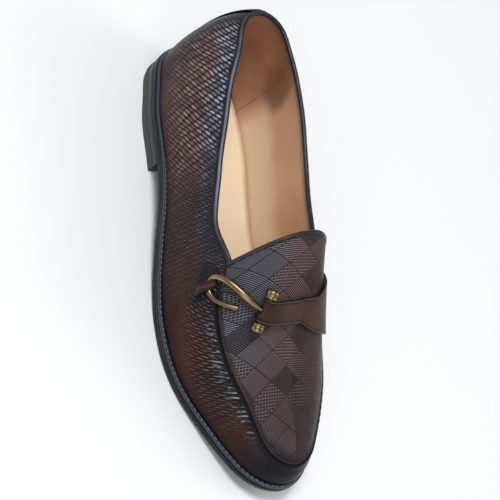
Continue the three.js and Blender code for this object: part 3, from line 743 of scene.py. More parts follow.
def lining_leather():
    """The lining, with the heel grip's seam at its place in millimetres from the back."""
    f = Finish("lining leather")
    along, down = f.attribute("along"), f.attribute("down")
    cloud = f.noise(32, 4.0)
    wander = cloud - 0.5
    pale, deep = (f.blend(cloud.ramp(0.3, 0.7), *pair) for pair in (PALE_LINING, DEEP_LINING))
    tone = f.blend((along + wander * 6).ramp(66, 34), pale, deep)
    # darker in a spot on the heel grip, lighter down by the sock, and a line under the topline
    spot_x = (along - 48) / 16
    spot_y = (down - 24) / 20
    worn = (spot_x * spot_x + spot_y * spot_y + wander * 0.8).ramp(1.1, 0.1)
    tone = f.blend(worn * 0.75, tone, HEEL_SPOT_LINING)
    low = (down + wander * 8).ramp(30, 46) * (along.ramp(44, 62) * 0.95 + 0.05)
    tone = f.blend(low, tone, CREAM_LINING)
    tone = f.blend((down + wander * 3).ramp(6, 1) * 0.6, tone, LINING_EDGE)
    seam_line = along.band(GRIP_SEAM, 0.45) * down.ramp(6, 12)
    tone = f.blend(seam_line * 0.7, tone, LINING_SEAM)
    step = along.ramp(GRIP_SEAM + 1, GRIP_SEAM - 0.5)
    height = f.pebbles(1500) * 0.2 + step - seam_line * 0.7 + f.noise(90, 3.0) * 0.6
    gloss = {"Coat_Weight": 0.08, "Coat_Roughness": 0.35, "Specular_IOR_Level": 0.4}
    return f.done(tone, height, 0.3, cloud * 0.1 + 0.45, **gloss)


def sock_leather():
    f = Finish("insole leather")
    cloud = f.noise(22, 4.0)
    tone = f.blend(cloud.ramp(0.3, 0.72), *SOCK)
    # darker towards the edge, where the insole meets the upper: painted shade
    tone = f.blend(f.attribute("edge").ramp(5, 0.5) * 0.8, tone, SOCK_EDGE_SHADE)
    height = f.pebbles(1700) * 0.2 + f.noise(120, 3.0) * 0.6
    gloss = {"Coat_Weight": 0.05, "Coat_Roughness": 0.35, "Specular_IOR_Level": 0.4}
    return f.done(tone, height, 0.12, cloud * 0.12 + 0.46, **gloss)


def waxed_edge(name, low, high, rills=None, layers=None):
    """Edge leather with rills from a wheel, or with the thin lines of stacked layers."""
    f = Finish(name)
    cloud = f.noise(60, 4.0)
    streak = f.noise(110, 4.0, stretch=(1, 1, 9))
    tone = f.blend(streak.ramp(0.3, 0.75), low, high)
    height = f.noise(700, 3.0, stretch=(1, 1, 3)) * 0.4
    if layers:
        z = f.parts()[2] / MM
        line = (z / layers).rest().band(0.5, 0.05)
        height = height - line * 0.3
        tone = f.blend(line * 0.25, tone, BLACK)
    if rills:
        tooth = (f.attribute("round") * (2 * math.pi / rills)).sine() * 0.5 + 0.5
        up = f.attribute("up").ramp(0.2, 0.7)
        height = height + tooth.power(0.7) * up * 1.5
        # the rills' crests lighter: painted highlight
        tone = f.blend(tooth * up * 0.6, tone, RILL_HIGHLIGHT)
    gloss = {"Coat_Weight": 0.15, "Coat_Roughness": 0.25, "Specular_IOR_Level": 0.12}
    return f.done(tone, height, 0.22, cloud * 0.16 + 0.32, **gloss)


def rubber():
    f = Finish("heel rubber")
    cloud = f.noise(70, 4.0)
    return f.done(f.blend(cloud, *RUBBER), f.noise(1400, 3.0), 0.08, cloud * 0.15 + 0.55)


def antique_brass():
    f = Finish("antique brass")
    cloud = f.noise(90, 3.0)
    tone = f.blend(cloud.ramp(0.35, 0.7), *BRASS)
    spots = f.noise(420, 3.0)
    tone = f.blend(spots.ramp(0.58, 0.78) * 0.12, tone, BRASS_SPOT)
    return f.done(tone, f.noise(1500, 2.0), 0.004, spots.ramp(0.5, 0.8) * 0.05 + 0.3, Metallic=1.0)


def welt_thread():
    f = Finish("welt thread")
    cloud = f.noise(900, 2.0)
    # the thread coloured pale grey-blue: painted glints on a dark thread
    return f.done(f.blend(cloud, *THREAD_GLINT), cloud, 0.05, cloud * 0.2 + 0.45)


# Making pieces
def grid_piece(name, points, attributes=None, keep=None, flip=False):
    """A mesh from a grid: points is rows x columns x 3 in the last's frame, attributes the same size."""
    rows, count = points.shape[:2]
    made = bmesh.new()
    bmesh.ops.create_grid(made, x_segments=rows - 1, y_segments=count - 1, size=1)
    layers = {key: made.verts.layers.float.new(key) for key in (attributes or {})}
    placed = metres(points)
    for vert in made.verts:
        i = round((vert.co.x + 1) / 2 * (rows - 1))
        j = round((vert.co.y + 1) / 2 * (count - 1))
        vert.co = placed[i, j]
        for key, layer in layers.items():
            vert[layer] = attributes[key][i, j]
        vert.index = i * count + j
    if keep is not None:
        lost = [f for f in made.faces if not all(keep[divmod(v.index, count)] for v in f.verts)]
        bmesh.ops.delete(made, geom=lost, context="FACES")
    bmesh.ops.remove_doubles(made, verts=made.verts[:], dist=2e-6)
    bmesh.ops.dissolve_degenerate(made, edges=made.edges[:], dist=1e-7)
    if flip:
        bmesh.ops.reverse_faces(made, faces=made.faces[:])
    return shown(name, made)


def shown(name, made):
    mesh = bpy.data.meshes.new(name)
    made.to_mesh(mesh)
    made.free()
    for face in mesh.polygons:
        face.use_smooth = True
    piece = bpy.data.objects.new(name, mesh)
    bpy.context.scene.collection.objects.link(piece)
    return piece


def joined(name, pieces):
    """Several pieces as one mesh, their shared edges merged."""
    made = bmesh.new()
    for piece in pieces:
        made.from_mesh(piece.data)
        mesh = piece.data
        bpy.data.objects.remove(piece)
        bpy.data.meshes.remove(mesh)
    bmesh.ops.remove_doubles(made, verts=made.verts[:], dist=5e-6)
    return shown(name, made)


def outward(piece):
    """Turns a closed piece's faces out."""
    made = bmesh.new()
    made.from_mesh(piece.data)
    bmesh.ops.recalc_face_normals(made, faces=made.faces[:])
    made.to_mesh(piece.data)
    made.free()
    return piece


def dress(piece, slot, replaced, *materials, angle=None):
    for material in materials:
        piece.data.materials.append(material)
    if angle:
        piece.data.set_sharp_from_angle(angle=math.radians(angle))
    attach(piece, "root")
    if replaced:
        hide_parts(*replaced)
    return piece


def walled(piece, thickness, offset=-1, inner=0, bevel=0.0):
    """Gives a sheet its thickness; inner is which material its back has, bevel rounds its edges."""
    wall = piece.modifiers.new("wall", "SOLIDIFY")
    wall.thickness = thickness * MM
    wall.offset = offset
    wall.material_offset = inner
    if bevel:
        soft = piece.modifiers.new("soft edge", "BEVEL")
        soft.width = bevel * MM
        soft.segments = 3
        soft.limit_method = "ANGLE"
        soft.angle_limit = math.radians(50)
    return piece


def bump(value, middle, width):
    return np.cos(np.clip((value - middle) / width, -1, 1) * np.pi / 2) ** 2


# The upper
# Soft troughs (minus) and ridges (plus) worn into the leather: at, across, lean, length, width, depth
CREASES = [
    [0.63, -1.35, 12, 16, 4.5, -0.5],
    [0.66, -1.55, 8, 18, 5, -0.55],
    [0.645, -1.5, 10, 16, 4, 0.35],
    [0.7, -1.45, 4, 15, 4.5, -0.4],
    [0.64, 1.35, -12, 16, 4.5, -0.5],
    [0.68, 1.55, -8, 18, 5, -0.5],
    [0.665, 1.45, -10, 16, 4, 0.35],
    [0.46, -1.3, 25, 22, 8, -0.5],
    [0.34, -1.35, -20, 20, 9, -0.45],
    [0.4, 1.3, 20, 22, 8, -0.5],
    [0.13, -1.25, 60, 18, 8, -0.4],
]
PUCKER_PITCH = 4.6
PUCKER_DEPTH = 0.32
# The grid's rows up a side: close together from this far below the apron's seam to this far over it
BELOW_SEAM = 9
OVER_SEAM = 5
WALL_ROWS = 42
LIP_ROWS = 18
GROOVE_ROWS = 16
APRON_ROWS = 29
COLUMNS_A_PANEL = 150
NO_SEAM = 30  # the distance given where no seam is near
NO_RIDGE = 60


def leather_panel(side, ways, with_apron):
    """The outside of one side as a grid from the feather line to the rim, and on to the ridge."""
    here = Sections(side, ways)
    low = (here.rim - BELOW_SEAM / here.pace) * np.linspace(0, 1, WALL_ROWS)
    lip = here.rim + np.linspace(-BELOW_SEAM, 0, LIP_ROWS + 1)[1:] / here.pace
    t = [low, lip]
    if with_apron:
        start = here.rim + OVER_SEAM / here.pace
        t.append(here.rim + np.linspace(0, OVER_SEAM, GROOVE_ROWS + 1)[1:] / here.pace)
        t.append(start + (1 - start) * np.linspace(0, 1, APRON_ROWS + 1)[1:])
    place = here.place(np.concatenate(t, 1))
    step = np.linalg.norm(np.diff(place, axis=1), axis=-1)
    girth = np.concatenate([np.zeros((len(ways), 1)), np.cumsum(step, 1)], 1)
    seam = girth - girth[:, WALL_ROWS + LIP_ROWS - 1][:, None]
    mean = mean_share(here.ways)[:, None]
    along = np.broadcast_to(mean * LAST_LENGTH, seam.shape)
    ridge = place[:, -1]
    ridge = ridge[np.argsort(ridge[:, 1])]
    ridge_run = run_of(ridge[:, 1:])
    flat_y = np.interp(place[..., 1], ridge[:, 1], ridge_run - ridge_run[-1])
    to_seam = np.full_like(seam, NO_SEAM)
    to_ridge = np.full_like(seam, NO_RIDGE)
    if with_apron:
        soft = smoothstep(mean, THROAT, THROAT + 0.05)
        to_seam = np.abs(seam) * soft + NO_SEAM * (1 - soft)
        to_ridge = girth[:, -1:] - girth
    attributes = {
        "along": along,
        "down": np.maximum(-seam, 0),
        "side": to_ridge * SIGN[side],
        "apron": (seam > 0.05).astype(float),
        "flat_x": place[..., 0],
        "flat_y": flat_y + np.minimum(place[..., 1] - ridge[0, 1], 0),
        "seam": to_seam,
        "foot": girth,
        "toe": smoothstep(mean, 0.7, 1.0) * smoothstep(-seam, -40, 6),
    }
    worn = relief_of(side, here, mean, seam, along)
    return place + grid_normals(place, side) * worn[..., None], attributes


def grid_normals(place, side):
    normal = unit(np.cross(np.gradient(place, axis=1), np.gradient(place, axis=0)) * SIGN[side])
    normal[-1] = normal[-2]
    return normal


def relief_of(side, here, mean, seam, along):
    """How far the leather stands off the last: the apron seam, its puckers and the creases."""
    fade = smoothstep(here.ways, throat, throat + SEAM_FADE)[:, None]
    lip = SEAM_RISE * bump(seam, -1.2, 2.0) * (seam < 0.6)
    groove = -SEAM_DEPTH * bump(seam, 0.5, 0.9)
    cord = 0.35 * bump(seam, 1.7, 0.8)
    shoulder = -0.2 * bump(seam, 2.8, 1.2)
    made = (lip + groove + cord + shoulder) * fade
    gathers = np.cos(2 * np.pi * (run_of(here.foot)[:, None] + seam * 0.35) / PUCKER_PITCH)
    reach = smoothstep(seam, -13, -5) * smoothstep(-seam, 0.4, 2.4)
    made += PUCKER_DEPTH * gathers * reach * smoothstep(mean, 0.7, 0.8) * (1 - smoothstep(mean, 0.88, 0.95))
    for at, across, lean, length, width, depth in CREASES:
        if np.sign(across) != SIGN[side]:
            continue
        # the creases lie between the rim and the sole, so across is from 1 to 2
        middle = seam[:, :1] * (abs(across) - 1)
        turn = math.radians(lean)
        x = along - at * LAST_LENGTH
        y = seam - middle
        lengthwise = y * math.cos(turn) + x * math.sin(turn)
        crosswise = x * math.cos(turn) - y * math.sin(turn)
        made += depth * bump(lengthwise, 0, length) * np.exp(-((crosswise / width) ** 2) * 2)
    return made


def make_upper(leather, lining):
    quarter_ways = np.linspace(0, throat, COLUMNS_A_PANEL)
    vamp_ways = throat + (1 - throat) * np.linspace(0, 1, COLUMNS_A_PANEL)
    pieces = []
    for side in (OUTER, INNER):
        for ways, with_apron in ((quarter_ways, False), (vamp_ways, True)):
            points, attributes = leather_panel(side, ways, with_apron)
            pieces.append(grid_piece("panel", points, attributes, flip=side == INNER))
    upper = joined("upper_leather", pieces)
    walled(upper, UPPER_WALL, inner=1)
    return dress(upper, "upper", ["upper"], leather, lining)


# Plates: outsole, insole and heel
def plate_piece(name, edge, top, bottom, bottom_edge=None, front=None, corner=0.5, stations=170):
    """A plate over the sole's outline with rounded corners; front is the share where a heel ends."""
    across = 0.5 - 0.5 * np.cos(np.linspace(0, np.pi, 25))[1:-1]

    def corner_points(side, reach, height, way_up):
        """Three lines round a corner, from the edge's wall to a face: way_up is 1 on top and -1 below."""
        ways = np.linspace(0, 1, stations) * (way_at(side, front) if front else 1.0)
        at = share_at(outline(side, ways))
        lines = []
        for turn in (0, math.pi / 4, math.pi / 2):
            point = outline(side, ways, reach(at) - corner * (1 - math.cos(turn)))
            z = height(share_at(point)) - corner * (1 - math.sin(turn)) * way_up
            lines.append(with_height(point, z))
        return lines

    def span(first, second, height):
        """Lines over a face, from one side's last line to the other's."""
        middles = [first[:, :2] * (1 - part) + second[:, :2] * part for part in across]
        return [with_height(point, height(share_at(point))) for point in middles]

    top_outer, top_inner = (corner_points(side, edge, top, 1) for side in (OUTER, INNER))
    low_outer, low_inner = (corner_points(side, bottom_edge or edge, bottom, -1) for side in (OUTER, INNER))
    loop = top_outer + span(top_outer[-1], top_inner[-1], top) + top_inner[::-1]
    inner_edge = len(loop) - 1
    loop += low_inner + span(low_inner[-1], low_outer[-1], bottom) + low_outer[::-1]
    points = np.stack([*loop, loop[0]], 1)
    if front:
        face = points[-1]
        centre = np.tile(face.mean(0), (len(face), 1))
        points = np.concatenate([points, [(face + centre) / 2], [centre]])
    plan = points[..., :2]
    from_edges = [np.linalg.norm(plan - plan[:, j : j + 1], axis=-1) for j in (0, inner_edge)]
    return outward(grid_piece(name, points, {"edge": np.minimum(*from_edges)}))


def ring_piece(name, sections, attributes):
    """A closed ring: sections is places x corners x 3, and attributes the same size."""

    def closed(values):
        values = np.concatenate([values, values[:1]], 0)
        return np.concatenate([values, values[:, :1]], 1)

    grown = {key: closed(values) for key, values in attributes.items()}
    return outward(grid_piece(name, closed(sections), grown))


def round_ways(count):
    """Sides and ways once round the feather line."""
    ways = np.linspace(0, 1, count)
    return [(OUTER, ways[:-1]), (INNER, ways[1:][::-1])]


# The welt's corners: how far in from its edge, the share of its thickness, and how much the wheel marks it,
# in relief and in painted highlight
WELT_CORNERS = [
    (0.0, 0.15, 0),
    (0.12, 0.5, 0.2),
    (0.0, 0.85, 0.8),
    (-0.35, 1.0, 1),
    (-1.2, 1.02, 1),
    (-2.0, 0.96, 0.6),
    (-4.5, 1.0, 0),
    (-WELT_WIDTH, 1.0, 0),
    (-WELT_WIDTH, 0.0, 0),
    (-0.3, 0.0, 0),
]


def make_welt(material):
    """The welt: a flat strip with a wheel-marked rim."""
    sections = []
    wheel = []
    start = 0.0
    for side, ways in round_ways(420):
        outer = ledge(share_at(outline(side, ways))) - WELT_STEP
        corners = []
        for inset, height, marked in WELT_CORNERS:
            point = outline(side, ways, outer + inset)
            corners.append(with_height(point, sole_top(share_at(point)) + GAP + height * WELT_THICKNESS))
        sections.append(np.stack(corners, 1))
        run = start + np.abs(ways - ways[0]) * feather.total / 2
        start = run[-1]
        wheel.append(np.tile(run[:, None], (1, len(WELT_CORNERS))))
    wheel = np.concatenate(wheel)
    up = np.tile([float(marked) for inset, height, marked in WELT_CORNERS], (len(wheel), 1))
    piece = ring_piece("welt_strip", np.concatenate(sections), {"round": wheel, "up": up})
    return dress(piece, "welt", ["welt"], material, angle=60)


def make_soles(sole_edge, heel_edge, foot_rubber, sock):
    def heel_line(at):
        return ledge(at) - HEEL_TAPER

    def level(height):
        return lambda at: np.full_like(at, height)

    def under_sole(at):
        return underside(at) - GAP

    def sock_top(at):
        return seat(at) + INSOLE_THICKNESS

    outsole = plate_piece("outsole_leather", ledge, sole_top, underside, corner=0.9)
    dress(outsole, "sole", ["outsole"], sole_edge, angle=50)
    heel = {"bottom_edge": heel_line, "front": HEEL_BREAST, "stations": 70}
    stack_foot = level(TOP_PIECE_THICKNESS + GAP)
    stack = plate_piece("heel_block", ledge, under_sole, stack_foot, corner=0.35, **heel)
    dress(stack, "heel", ["heel_stack"], heel_edge, angle=45)
    foot = plate_piece("heel_foot", heel_line, level(TOP_PIECE_THICKNESS), np.zeros_like, **heel)
    dress(foot, "top_piece", ["top_piece"], foot_rubber, angle=45)
    sock_plate = plate_piece("insole_sock", level(-UPPER_WALL - GAP), sock_top, seat)
    dress(sock_plate, "insole", ["insole"], sock, angle=50)


# The binding and the back strip
def circle(first, second, angles):
    return np.cos(angles)[:, None] * first + np.sin(angles)[:, None] * second


def tube(points, radii, sides, closed=False):
    """The surface of a tube along points, as sections for a grid."""
    ahead = unit(np.roll(points, -1, 0) - np.roll(points, 1, 0) if closed else np.gradient(points, axis=0))
    first = np.cross(ahead[0], [0.3, 0.2, 1.0])
    frames = []
    for direction in ahead:
        first = square_to(first, direction)
        frames.append((first, np.cross(direction, first)))
    twist = 0.0
    if closed:
        # what the frame has turned by once round is shared out along the way
        start, end = frames[0][0], frames[-1][0]
        twist = math.atan2(start.dot(np.cross(ahead[0], end)), start.dot(end))
    angles = np.linspace(0, 2 * np.pi, sides, endpoint=False)
    rings = []
    for i, frame_here in enumerate(frames):
        rings.append(points[i] + circle(*frame_here, angles + twist * i / len(frames)) * radii[i])
    return np.array(rings)


def smooth_path(points, count, closed=False):
    """A smooth curve through points, evenly spaced."""
    if closed:
        points = np.concatenate([points[-1:], points, points[:2]])
    else:
        points = np.concatenate([[2 * points[0] - points[1]], points, [2 * points[-1] - points[-2]]])
    t = np.linspace(0, 1, 24, endpoint=False)[:, None]
    fine = []
    for i in range(1, len(points) - 2):
        p0, p1, p2, p3 = points[i - 1 : i + 3]
        square = 2 * p0 - 5 * p1 + 4 * p2 - p3
        cube = 3 * p1 - p0 - 3 * p2 + p3
        fine.append(0.5 * (2 * p1 + (p2 - p0) * t + square * t**2 + cube * t**3))
    fine = np.concatenate([*fine, points[-2:-1]])
    lengths = run_of(fine)
    wanted = np.linspace(0, lengths[-1], count, endpoint=not closed)
    return np.stack([np.interp(wanted, lengths, fine[:, k]) for k in range(3)], 1)


def opening_edge():
    """The topline and the tongue's edge as one loop of places with their outward normals."""
    quarter = np.linspace(0, throat, 60)
    shares = np.linspace(0, 1, 24)[1:]
    at = np.concatenate([mean_share(quarter), np.full(len(shares), THROAT)])
    across = np.concatenate([np.ones(len(quarter)), np.maximum(1 - shares, 1e-4)])
    halves = []
    for side in (OUTER, INNER):
        topline = Sections(side, quarter)
        tongue = Sections(side, np.full(len(shares), throat))
        t = tongue.rim + (1 - tongue.rim) * shares[:, None]
        places = np.concatenate([topline.place(topline.rim), tongue.place(t)])[:, 0]
        halves.append((places, on_upper(at, across * SIGN[side], 1.0) - places))
    return [np.concatenate([outer, inner[1:-1][::-1]]) for outer, inner in zip(*halves)]


def make_binding(material):
    places, normals = opening_edge()
    normals = unit(normals)
    ahead = unit(np.roll(places, -1, 0) - np.roll(places, 1, 0))
    out = unit(np.cross(normals, ahead))
    middle = places + out * (BINDING_RADIUS * 0.75) - normals * (UPPER_WALL / 2)
    middle = smooth_path(middle, 420, closed=True)
    rings = tube(middle, np.full(len(middle), BINDING_RADIUS), 16, closed=True)
    # how far each place looks up and outwards, where the piping gets a painted highlight
    painted_highlight = unit(rings - middle[:, None]) @ unit(np.array((-1, 0.1, 0.9)))
    piece = ring_piece("collar_piping", rings, {"painted_highlight": painted_highlight})
    return dress(piece, "binding", ["collar_binding"], material)


def make_back_strip(material):
    half_lanes = 9
    rows = 40
    lanes = np.arange(-half_lanes, half_lanes + 1)
    high = np.linspace(0, 1, rows)
    half = (BACK_STRIP_FOOT + (BACK_STRIP_TOP - BACK_STRIP_FOOT) * high) / 2
    lines = []
    for lane in lanes:
        ways = abs(lane) / half_lanes * half / (feather.total * feather.tip)
        here = Sections(OUTER if lane < 0 else INNER, ways)
        start = GAP / here.pace[:, 0]
        t = start + (here.rim[:, 0] - 2 * start) * high
        lines.append(here.place(t[:, None])[:, 0])
    points = np.stack(lines, 0)
    normal = unit(np.cross(np.gradient(points, axis=1), np.gradient(points, axis=0)))
    normal *= np.sign(normal[half_lanes, rows // 2, 1])
    edge = np.tile((half_lanes - np.abs(lanes))[:, None] * 0.8, (1, rows))
    piece = grid_piece("back_seam_strip", points + normal * GAP, {"edge": edge})
    face_out(piece, Vector((0, 1, 0)))
    walled(piece, BACK_STRIP_THICKNESS, offset=1, bevel=0.35)
    return dress(piece, "back_strip", ["back_strip"], material)


def face_out(piece, direction):
    """Turns an open sheet so that its faces look the given way."""
    total = Vector()
    for face in piece.data.polygons:
        total += face.normal * face.area
    if total.dot(direction) < 0:
        piece.data.flip_normals()


# The strap, its bar, the hook and the tab
bar_rise = GAP + (BAR_RADIUS + GAP + WIRE_RADIUS) + WIRE_RADIUS
bar_ends = [
    on_upper(strap_rows[edge][0], strap_rows[edge + "Across"][0], bar_rise)[0] for edge in ("upper", "lower")
]
bar_middle = (bar_ends[0] + bar_ends[1]) / 2
bar_axis = unit(bar_ends[0] - bar_ends[1])
STRAP_LANES = 21
STRAP_ROWS = 70
STRAP_SHEET = 1.15  # one layer's thickness
STRAP_LIFT = 1.5
FOLD_ANGLES = (90, 285)
TAIL_LENGTH = 9
ROLL_LENGTH = 46  # how far the top layer runs on straight, as a share of the strap


def make_strap(material):
    lane = np.linspace(0, 1, STRAP_LANES)
    shares = np.linspace(1, 0, STRAP_ROWS)
    values = {name: read(strap_rows, name, shares)[:, None] for name in STRAP_COLUMNS[1:]}
    at = values["upper"] + (values["lower"] - values["upper"]) * lane
    across = values["upperAcross"] + (values["lowerAcross"] - values["upperAcross"]) * lane
    lift = GAP + STRAP_LIFT + values["doubled"] * STRAP_THICKNESS * 0.75 + 0 * lane
    flat = on_upper(at.ravel(), across.ravel(), lift.ravel()).reshape(STRAP_ROWS, STRAP_LANES, 3)
    up = square_to(bar_middle - on_upper(at[-1].mean(), across[-1].mean())[0], bar_axis)
    inward = np.cross(up, bar_axis)
    inward *= np.sign(inward.dot(flat[0, STRAP_LANES // 2] - flat[-1, STRAP_LANES // 2]))
    # the fold: round the bar, then a short tail under the strap
    seat_line = bar_middle + bar_axis * (0.5 - lane[:, None]) * FOLD_LENGTH
    roll = BAR_RADIUS + GAP + STRAP_SHEET / 2
    angles = np.radians(np.linspace(*FOLD_ANGLES, 26))
    wrap = [seat_line + (inward * math.cos(angle) + up * math.sin(angle)) * roll for angle in angles]
    tail = [wrap[-1] + inward * part * TAIL_LENGTH - up * part * 0.4 for part in np.linspace(0.15, 1, 6)]
    # the top layer runs from the roll's crown down onto the strap
    for i, share in enumerate(shares):
        pull = smoothstep(share, 0.3, 0.0)
        flat[i] = flat[i] * (1 - pull) + (wrap[0] + inward * share * ROLL_LENGTH) * pull
    points = np.concatenate([flat[:-1], wrap, tail])
    # the slot in the fold that the hook comes out of
    keep = np.ones(points.shape[:2], bool)
    first = STRAP_ROWS + 7
    keep[first : first + 10] = np.abs(0.5 - lane) * FOLD_LENGTH >= HOOK_SLOT / 2 - 0.2
    width = np.linalg.norm(points[:, 0] - points[:, -1], axis=1)
    edge = np.minimum(lane, 1 - lane) * width[:, None]
    piece = grid_piece("instep_strap", points, {"edge": edge}, keep=keep)
    face_out(piece, Vector(up))
    walled(piece, STRAP_SHEET, offset=0, bevel=0.3)
    return dress(piece, "strap", ["strap"], material)


def turned_piece(name, profile, start, axis):
    """A round piece: profile is a list of (radius, distance along the axis)."""
    side = unit(np.cross(axis, [0.2, 0.3, 1.0]))
    ring = circle(side, np.cross(axis, side), np.linspace(0, 2 * np.pi, 40, endpoint=False))
    rings = np.array([start + axis * along + ring * radius for radius, along in profile])
    return outward(grid_piece(name, np.concatenate([rings, rings[:, :1]], 1)))


# A bar end's outline: shares of its radius, with millimetres from its foot and from its crown
CAP_FOOT = [(0, 0), (0.84, 0), (0.93, 0.1), (0.97, 0.35), (0.98, 1.2)]
CAP_FOOT += [(0.93, 1.4), (0.93, 1.7), (0.99, 1.95), (1, 2.6)]
CAP_CROWN = [(1, 1.1), (0.975, 0.65), (0.9, 0.25), (0.78, 0.05), (0.6, 0), (0, 0)]


def make_bar(material):
    half = BAR_LENGTH / 2
    rod = [(0, 0), (BAR_RADIUS - 0.2, 0), (BAR_RADIUS, 0.2), (BAR_RADIUS, BAR_LENGTH - 0.2)]
    rod += [(BAR_RADIUS - 0.2, BAR_LENGTH), (0, BAR_LENGTH)]
    bar = turned_piece("strap_bar", rod, bar_middle - bar_axis * half, bar_axis)
    dress(bar, "brass", ["buckle_bar"], material, angle=35)
    barrel = [(wide * CAP_RADIUS, along) for wide, along in CAP_FOOT]
    barrel += [(wide * CAP_RADIUS, CAP_LENGTH - left) for wide, left in CAP_CROWN]
    for name, node, way in (("bar_end_upper", "bar_cap_upper", 1), ("bar_end_lower", "bar_cap_lower", -1)):
        start = bar_middle + bar_axis * way * (half + GAP)
        cap = turned_piece(name, barrel, start, bar_axis * way)
        dress(cap, "brass", [node], material, angle=50)


def make_hook(material):
    sides = 18
    route = np.array([on_upper(at, across, rise * WIRE_RISE)[0] for at, across, rise, thick in HOOK])
    lead = square_to(route[0] - bar_middle, bar_axis)
    places = np.concatenate([[bar_middle + lead * (BAR_RADIUS + GAP)], route])
    thick = [HOOK[0][3], *(row[3] for row in HOOK)]
    marks = run_of(places)
    path = smooth_path(places, 150)
    for _ in range(160):
        path[1:-1] = path[1:-1] * 0.5 + (path[:-2] + path[2:]) * 0.25
    radii = np.interp(np.linspace(0, marks[-1], len(path)), marks, thick) * WIRE_RADIUS
    radii = np.convolve(np.pad(radii, 8, mode="edge"), np.ones(17) / 17, mode="valid")
    rings = tube(path, radii * 1.22, sides)

    def rounded(end, before, ring):
        """A small cap on one end of the wire: its tip, and a narrower ring just before the tip."""
        on = unit(end - before) * WIRE_RADIUS * 0.55
        return np.tile(end + on, (sides, 1)), (ring - end) * 0.7 + end + on * 0.75

    first_tip, first_ring = rounded(path[0], path[1], rings[0])
    last_tip, last_ring = rounded(path[-1], path[-2], rings[-1])
    rings = np.array([first_tip, first_ring, *rings, last_ring, last_tip])
    hook = outward(grid_piece("wire_hook", np.concatenate([rings, rings[:, :1]], 1)))
    return dress(hook, "brass", ["hook"], material)


def make_tab(material):
    rows = 30
    share = np.linspace(0, 1, rows)
    rise = GAP + TAB_THICKNESS / 2 + TAB_RISE * np.sin(np.pi * share) ** 0.6
    across = -(TAB_HEAD + (TAB_FOOT - TAB_HEAD) * share)
    half = TAB_WIDTH / 2 / LAST_LENGTH
    lanes = np.linspace(-1, 1, 9)
    points = np.array([on_upper(TAB_AT + lanes * half, a, r) for a, r in zip(across, rise)])
    edge = np.tile(((1 - np.abs(lanes)) * TAB_WIDTH / 2)[None, :], (rows, 1))
    piece = grid_piece("hook_loop", points, {"edge": edge})
    face_out(piece, Vector((-1, 0, 0.4)))
    walled(piece, TAB_THICKNESS, offset=0, bevel=0.3)
    return dress(piece, "tab", ["loop_tab"], material)


# The stitches on the welt
STITCH_PITCH = 3.4
STITCH_INSET = 1.5
STITCH_START = 0.27


def make_welt_stitches(material):
    """A row of short lockstitches along the welt, round the toe from waist to waist."""
    made = bmesh.new()
    for side in (OUTER, INNER):
        begin = way_at(side, STITCH_START)
        count = int((1 - begin) * feather.total / 2 / STITCH_PITCH)
        ways = begin + (1 - begin) * (np.arange(count) + 0.5) / count
        inset = ledge(share_at(outline(side, ways))) - WELT_STEP - STITCH_INSET
        places = outline(side, ways, inset)
        ahead = outline(side, np.minimum(ways + 0.002, 1), inset) - places
        middles = metres(with_height(places, welt_top(share_at(places)) + 0.12))
        for middle, way in zip(middles, ahead):
            turn = Vector((*way, 0)).to_track_quat("X", "Z").to_matrix().to_4x4()
            bead = bmesh.ops.create_uvsphere(made, u_segments=8, v_segments=5, radius=1)["verts"]
            bmesh.ops.scale(made, vec=(1.25 * MM, 0.42 * MM, 0.34 * MM), verts=bead)
            bmesh.ops.transform(made, matrix=turn, verts=bead)
            bmesh.ops.translate(made, vec=Vector(middle), verts=bead)
    return dress(shown("welt_stitches", made), "welt", None, material)


# The whole shoe
brass = antique_brass()
sole_edge = waxed_edge("sole edge", *SOLE_EDGE)
heel_edge = waxed_edge("heel stack leather", *HEEL_EDGE, layers=4.2)
make_upper(embossed_leather(), lining_leather())
make_soles(sole_edge, heel_edge, rubber(), sock_leather())
make_welt(waxed_edge("welt leather", *WELT_EDGE, rills=1.15))
make_binding(smooth_leather("piping leather", *PIPING, rough=0.18, coat=0.5, painted_highlight=True))
make_back_strip(smooth_leather("back strip leather", *DARK_STRIP, edge=BLACK))
make_strap(smooth_leather("strap leather", *STRAP_BROWN, edge=STRAP_EDGE))
make_bar(brass)
make_hook(brass)
make_tab(smooth_leather("tab leather", *TAB_BROWN, edge=TAB_EDGE, shine=0))
make_welt_stitches(welt_thread())

# Floor, light and camera
floor_mesh = bmesh.new()
bmesh.ops.create_grid(floor_mesh, x_segments=1, y_segments=1, size=6)
floor = shown("floor", floor_mesh)
floor_finish = Finish("pale floor")
floor_finish.shader.inputs["Base Color"].default_value = (0.86, 0.86, 0.86, 1)
floor_finish.shader.inputs["Roughness"].default_value = 0.6
floor.data.materials.append(floor_finish.material)

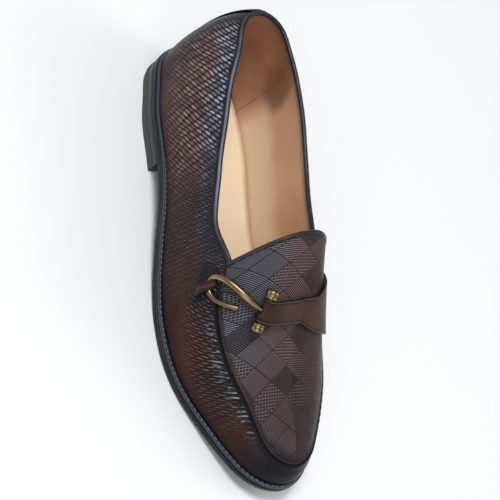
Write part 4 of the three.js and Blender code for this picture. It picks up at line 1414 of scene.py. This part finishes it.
bpy.context.scene.view_settings.view_transform = "Standard"
world = bpy.data.worlds.new("studio")
world.use_nodes = True
world.node_tree.nodes["Background"].inputs["Color"].default_value = (0.95, 0.97, 1.0, 1)
world.node_tree.nodes["Background"].inputs["Strength"].default_value = 0.44
bpy.context.scene.world = world


def softbox(name, place, target, width, height, power, colour=(1, 1, 1)):
    light = bpy.data.lights.new(name, "AREA")
    light.shape = "RECTANGLE"
    light.size = width
    light.size_y = height
    light.energy = power
    light.color = colour
    lamp = bpy.data.objects.new(name, light)
    lamp.location = place
    lamp.rotation_euler = (Vector(target) - Vector(place)).to_track_quat("-Z", "Y").to_euler()
    bpy.context.scene.collection.objects.link(lamp)


softbox("key", (-0.5, 0.35, 1.5), (0, 0, 0.05), 0.6, 0.6, 17, (0.93, 0.96, 1.0))
softbox("side", (1.3, -0.5, 0.9), (0, 0, 0.05), 0.8, 1.0, 7, (1.0, 0.97, 0.93))
softbox("front", (-0.9, -1.1, 0.8), (0, 0, 0.05), 1.0, 0.7, 5)

# The view: the photograph's direction, roll and distance, in degrees and millimetres in the last's frame
AZIMUTH = -69
ELEVATION = 44.15
ROLL = 61.6
DISTANCE = 1047
FOCAL = 1636  # in pixels of a picture 500 wide
AIM = (60.2, -142.4, 30)
CENTRE = (-5, -147, 42)  # the point that the picture is centred on

azimuth, elevation, roll = (math.radians(v) for v in (AZIMUTH, ELEVATION, ROLL))
toward = Vector(
    (math.sin(azimuth) * math.cos(elevation), -math.cos(azimuth) * math.cos(elevation), math.sin(elevation))
)
eye = Vector(metres(AIM)) + toward * DISTANCE * MM
ahead = -toward
right = ahead.cross(Vector((0, 0, 1))).normalized()
up = right.cross(ahead)
up = -math.sin(roll) * right + math.cos(roll) * up
ahead = (Vector(metres(CENTRE)) - eye).normalized()
right = ahead.cross(up).normalized()
up = right.cross(ahead)
camera_data = bpy.data.cameras.new("camera")
camera_data.sensor_width = 36
camera_data.lens = FOCAL / 500 * 36
camera = bpy.data.objects.new("camera", camera_data)
turn = Matrix((right, up, -ahead)).transposed().to_4x4()
camera.matrix_world = Matrix.Translation(eye) @ turn
bpy.context.scene.collection.objects.link(camera)
bpy.context.scene.camera = camera
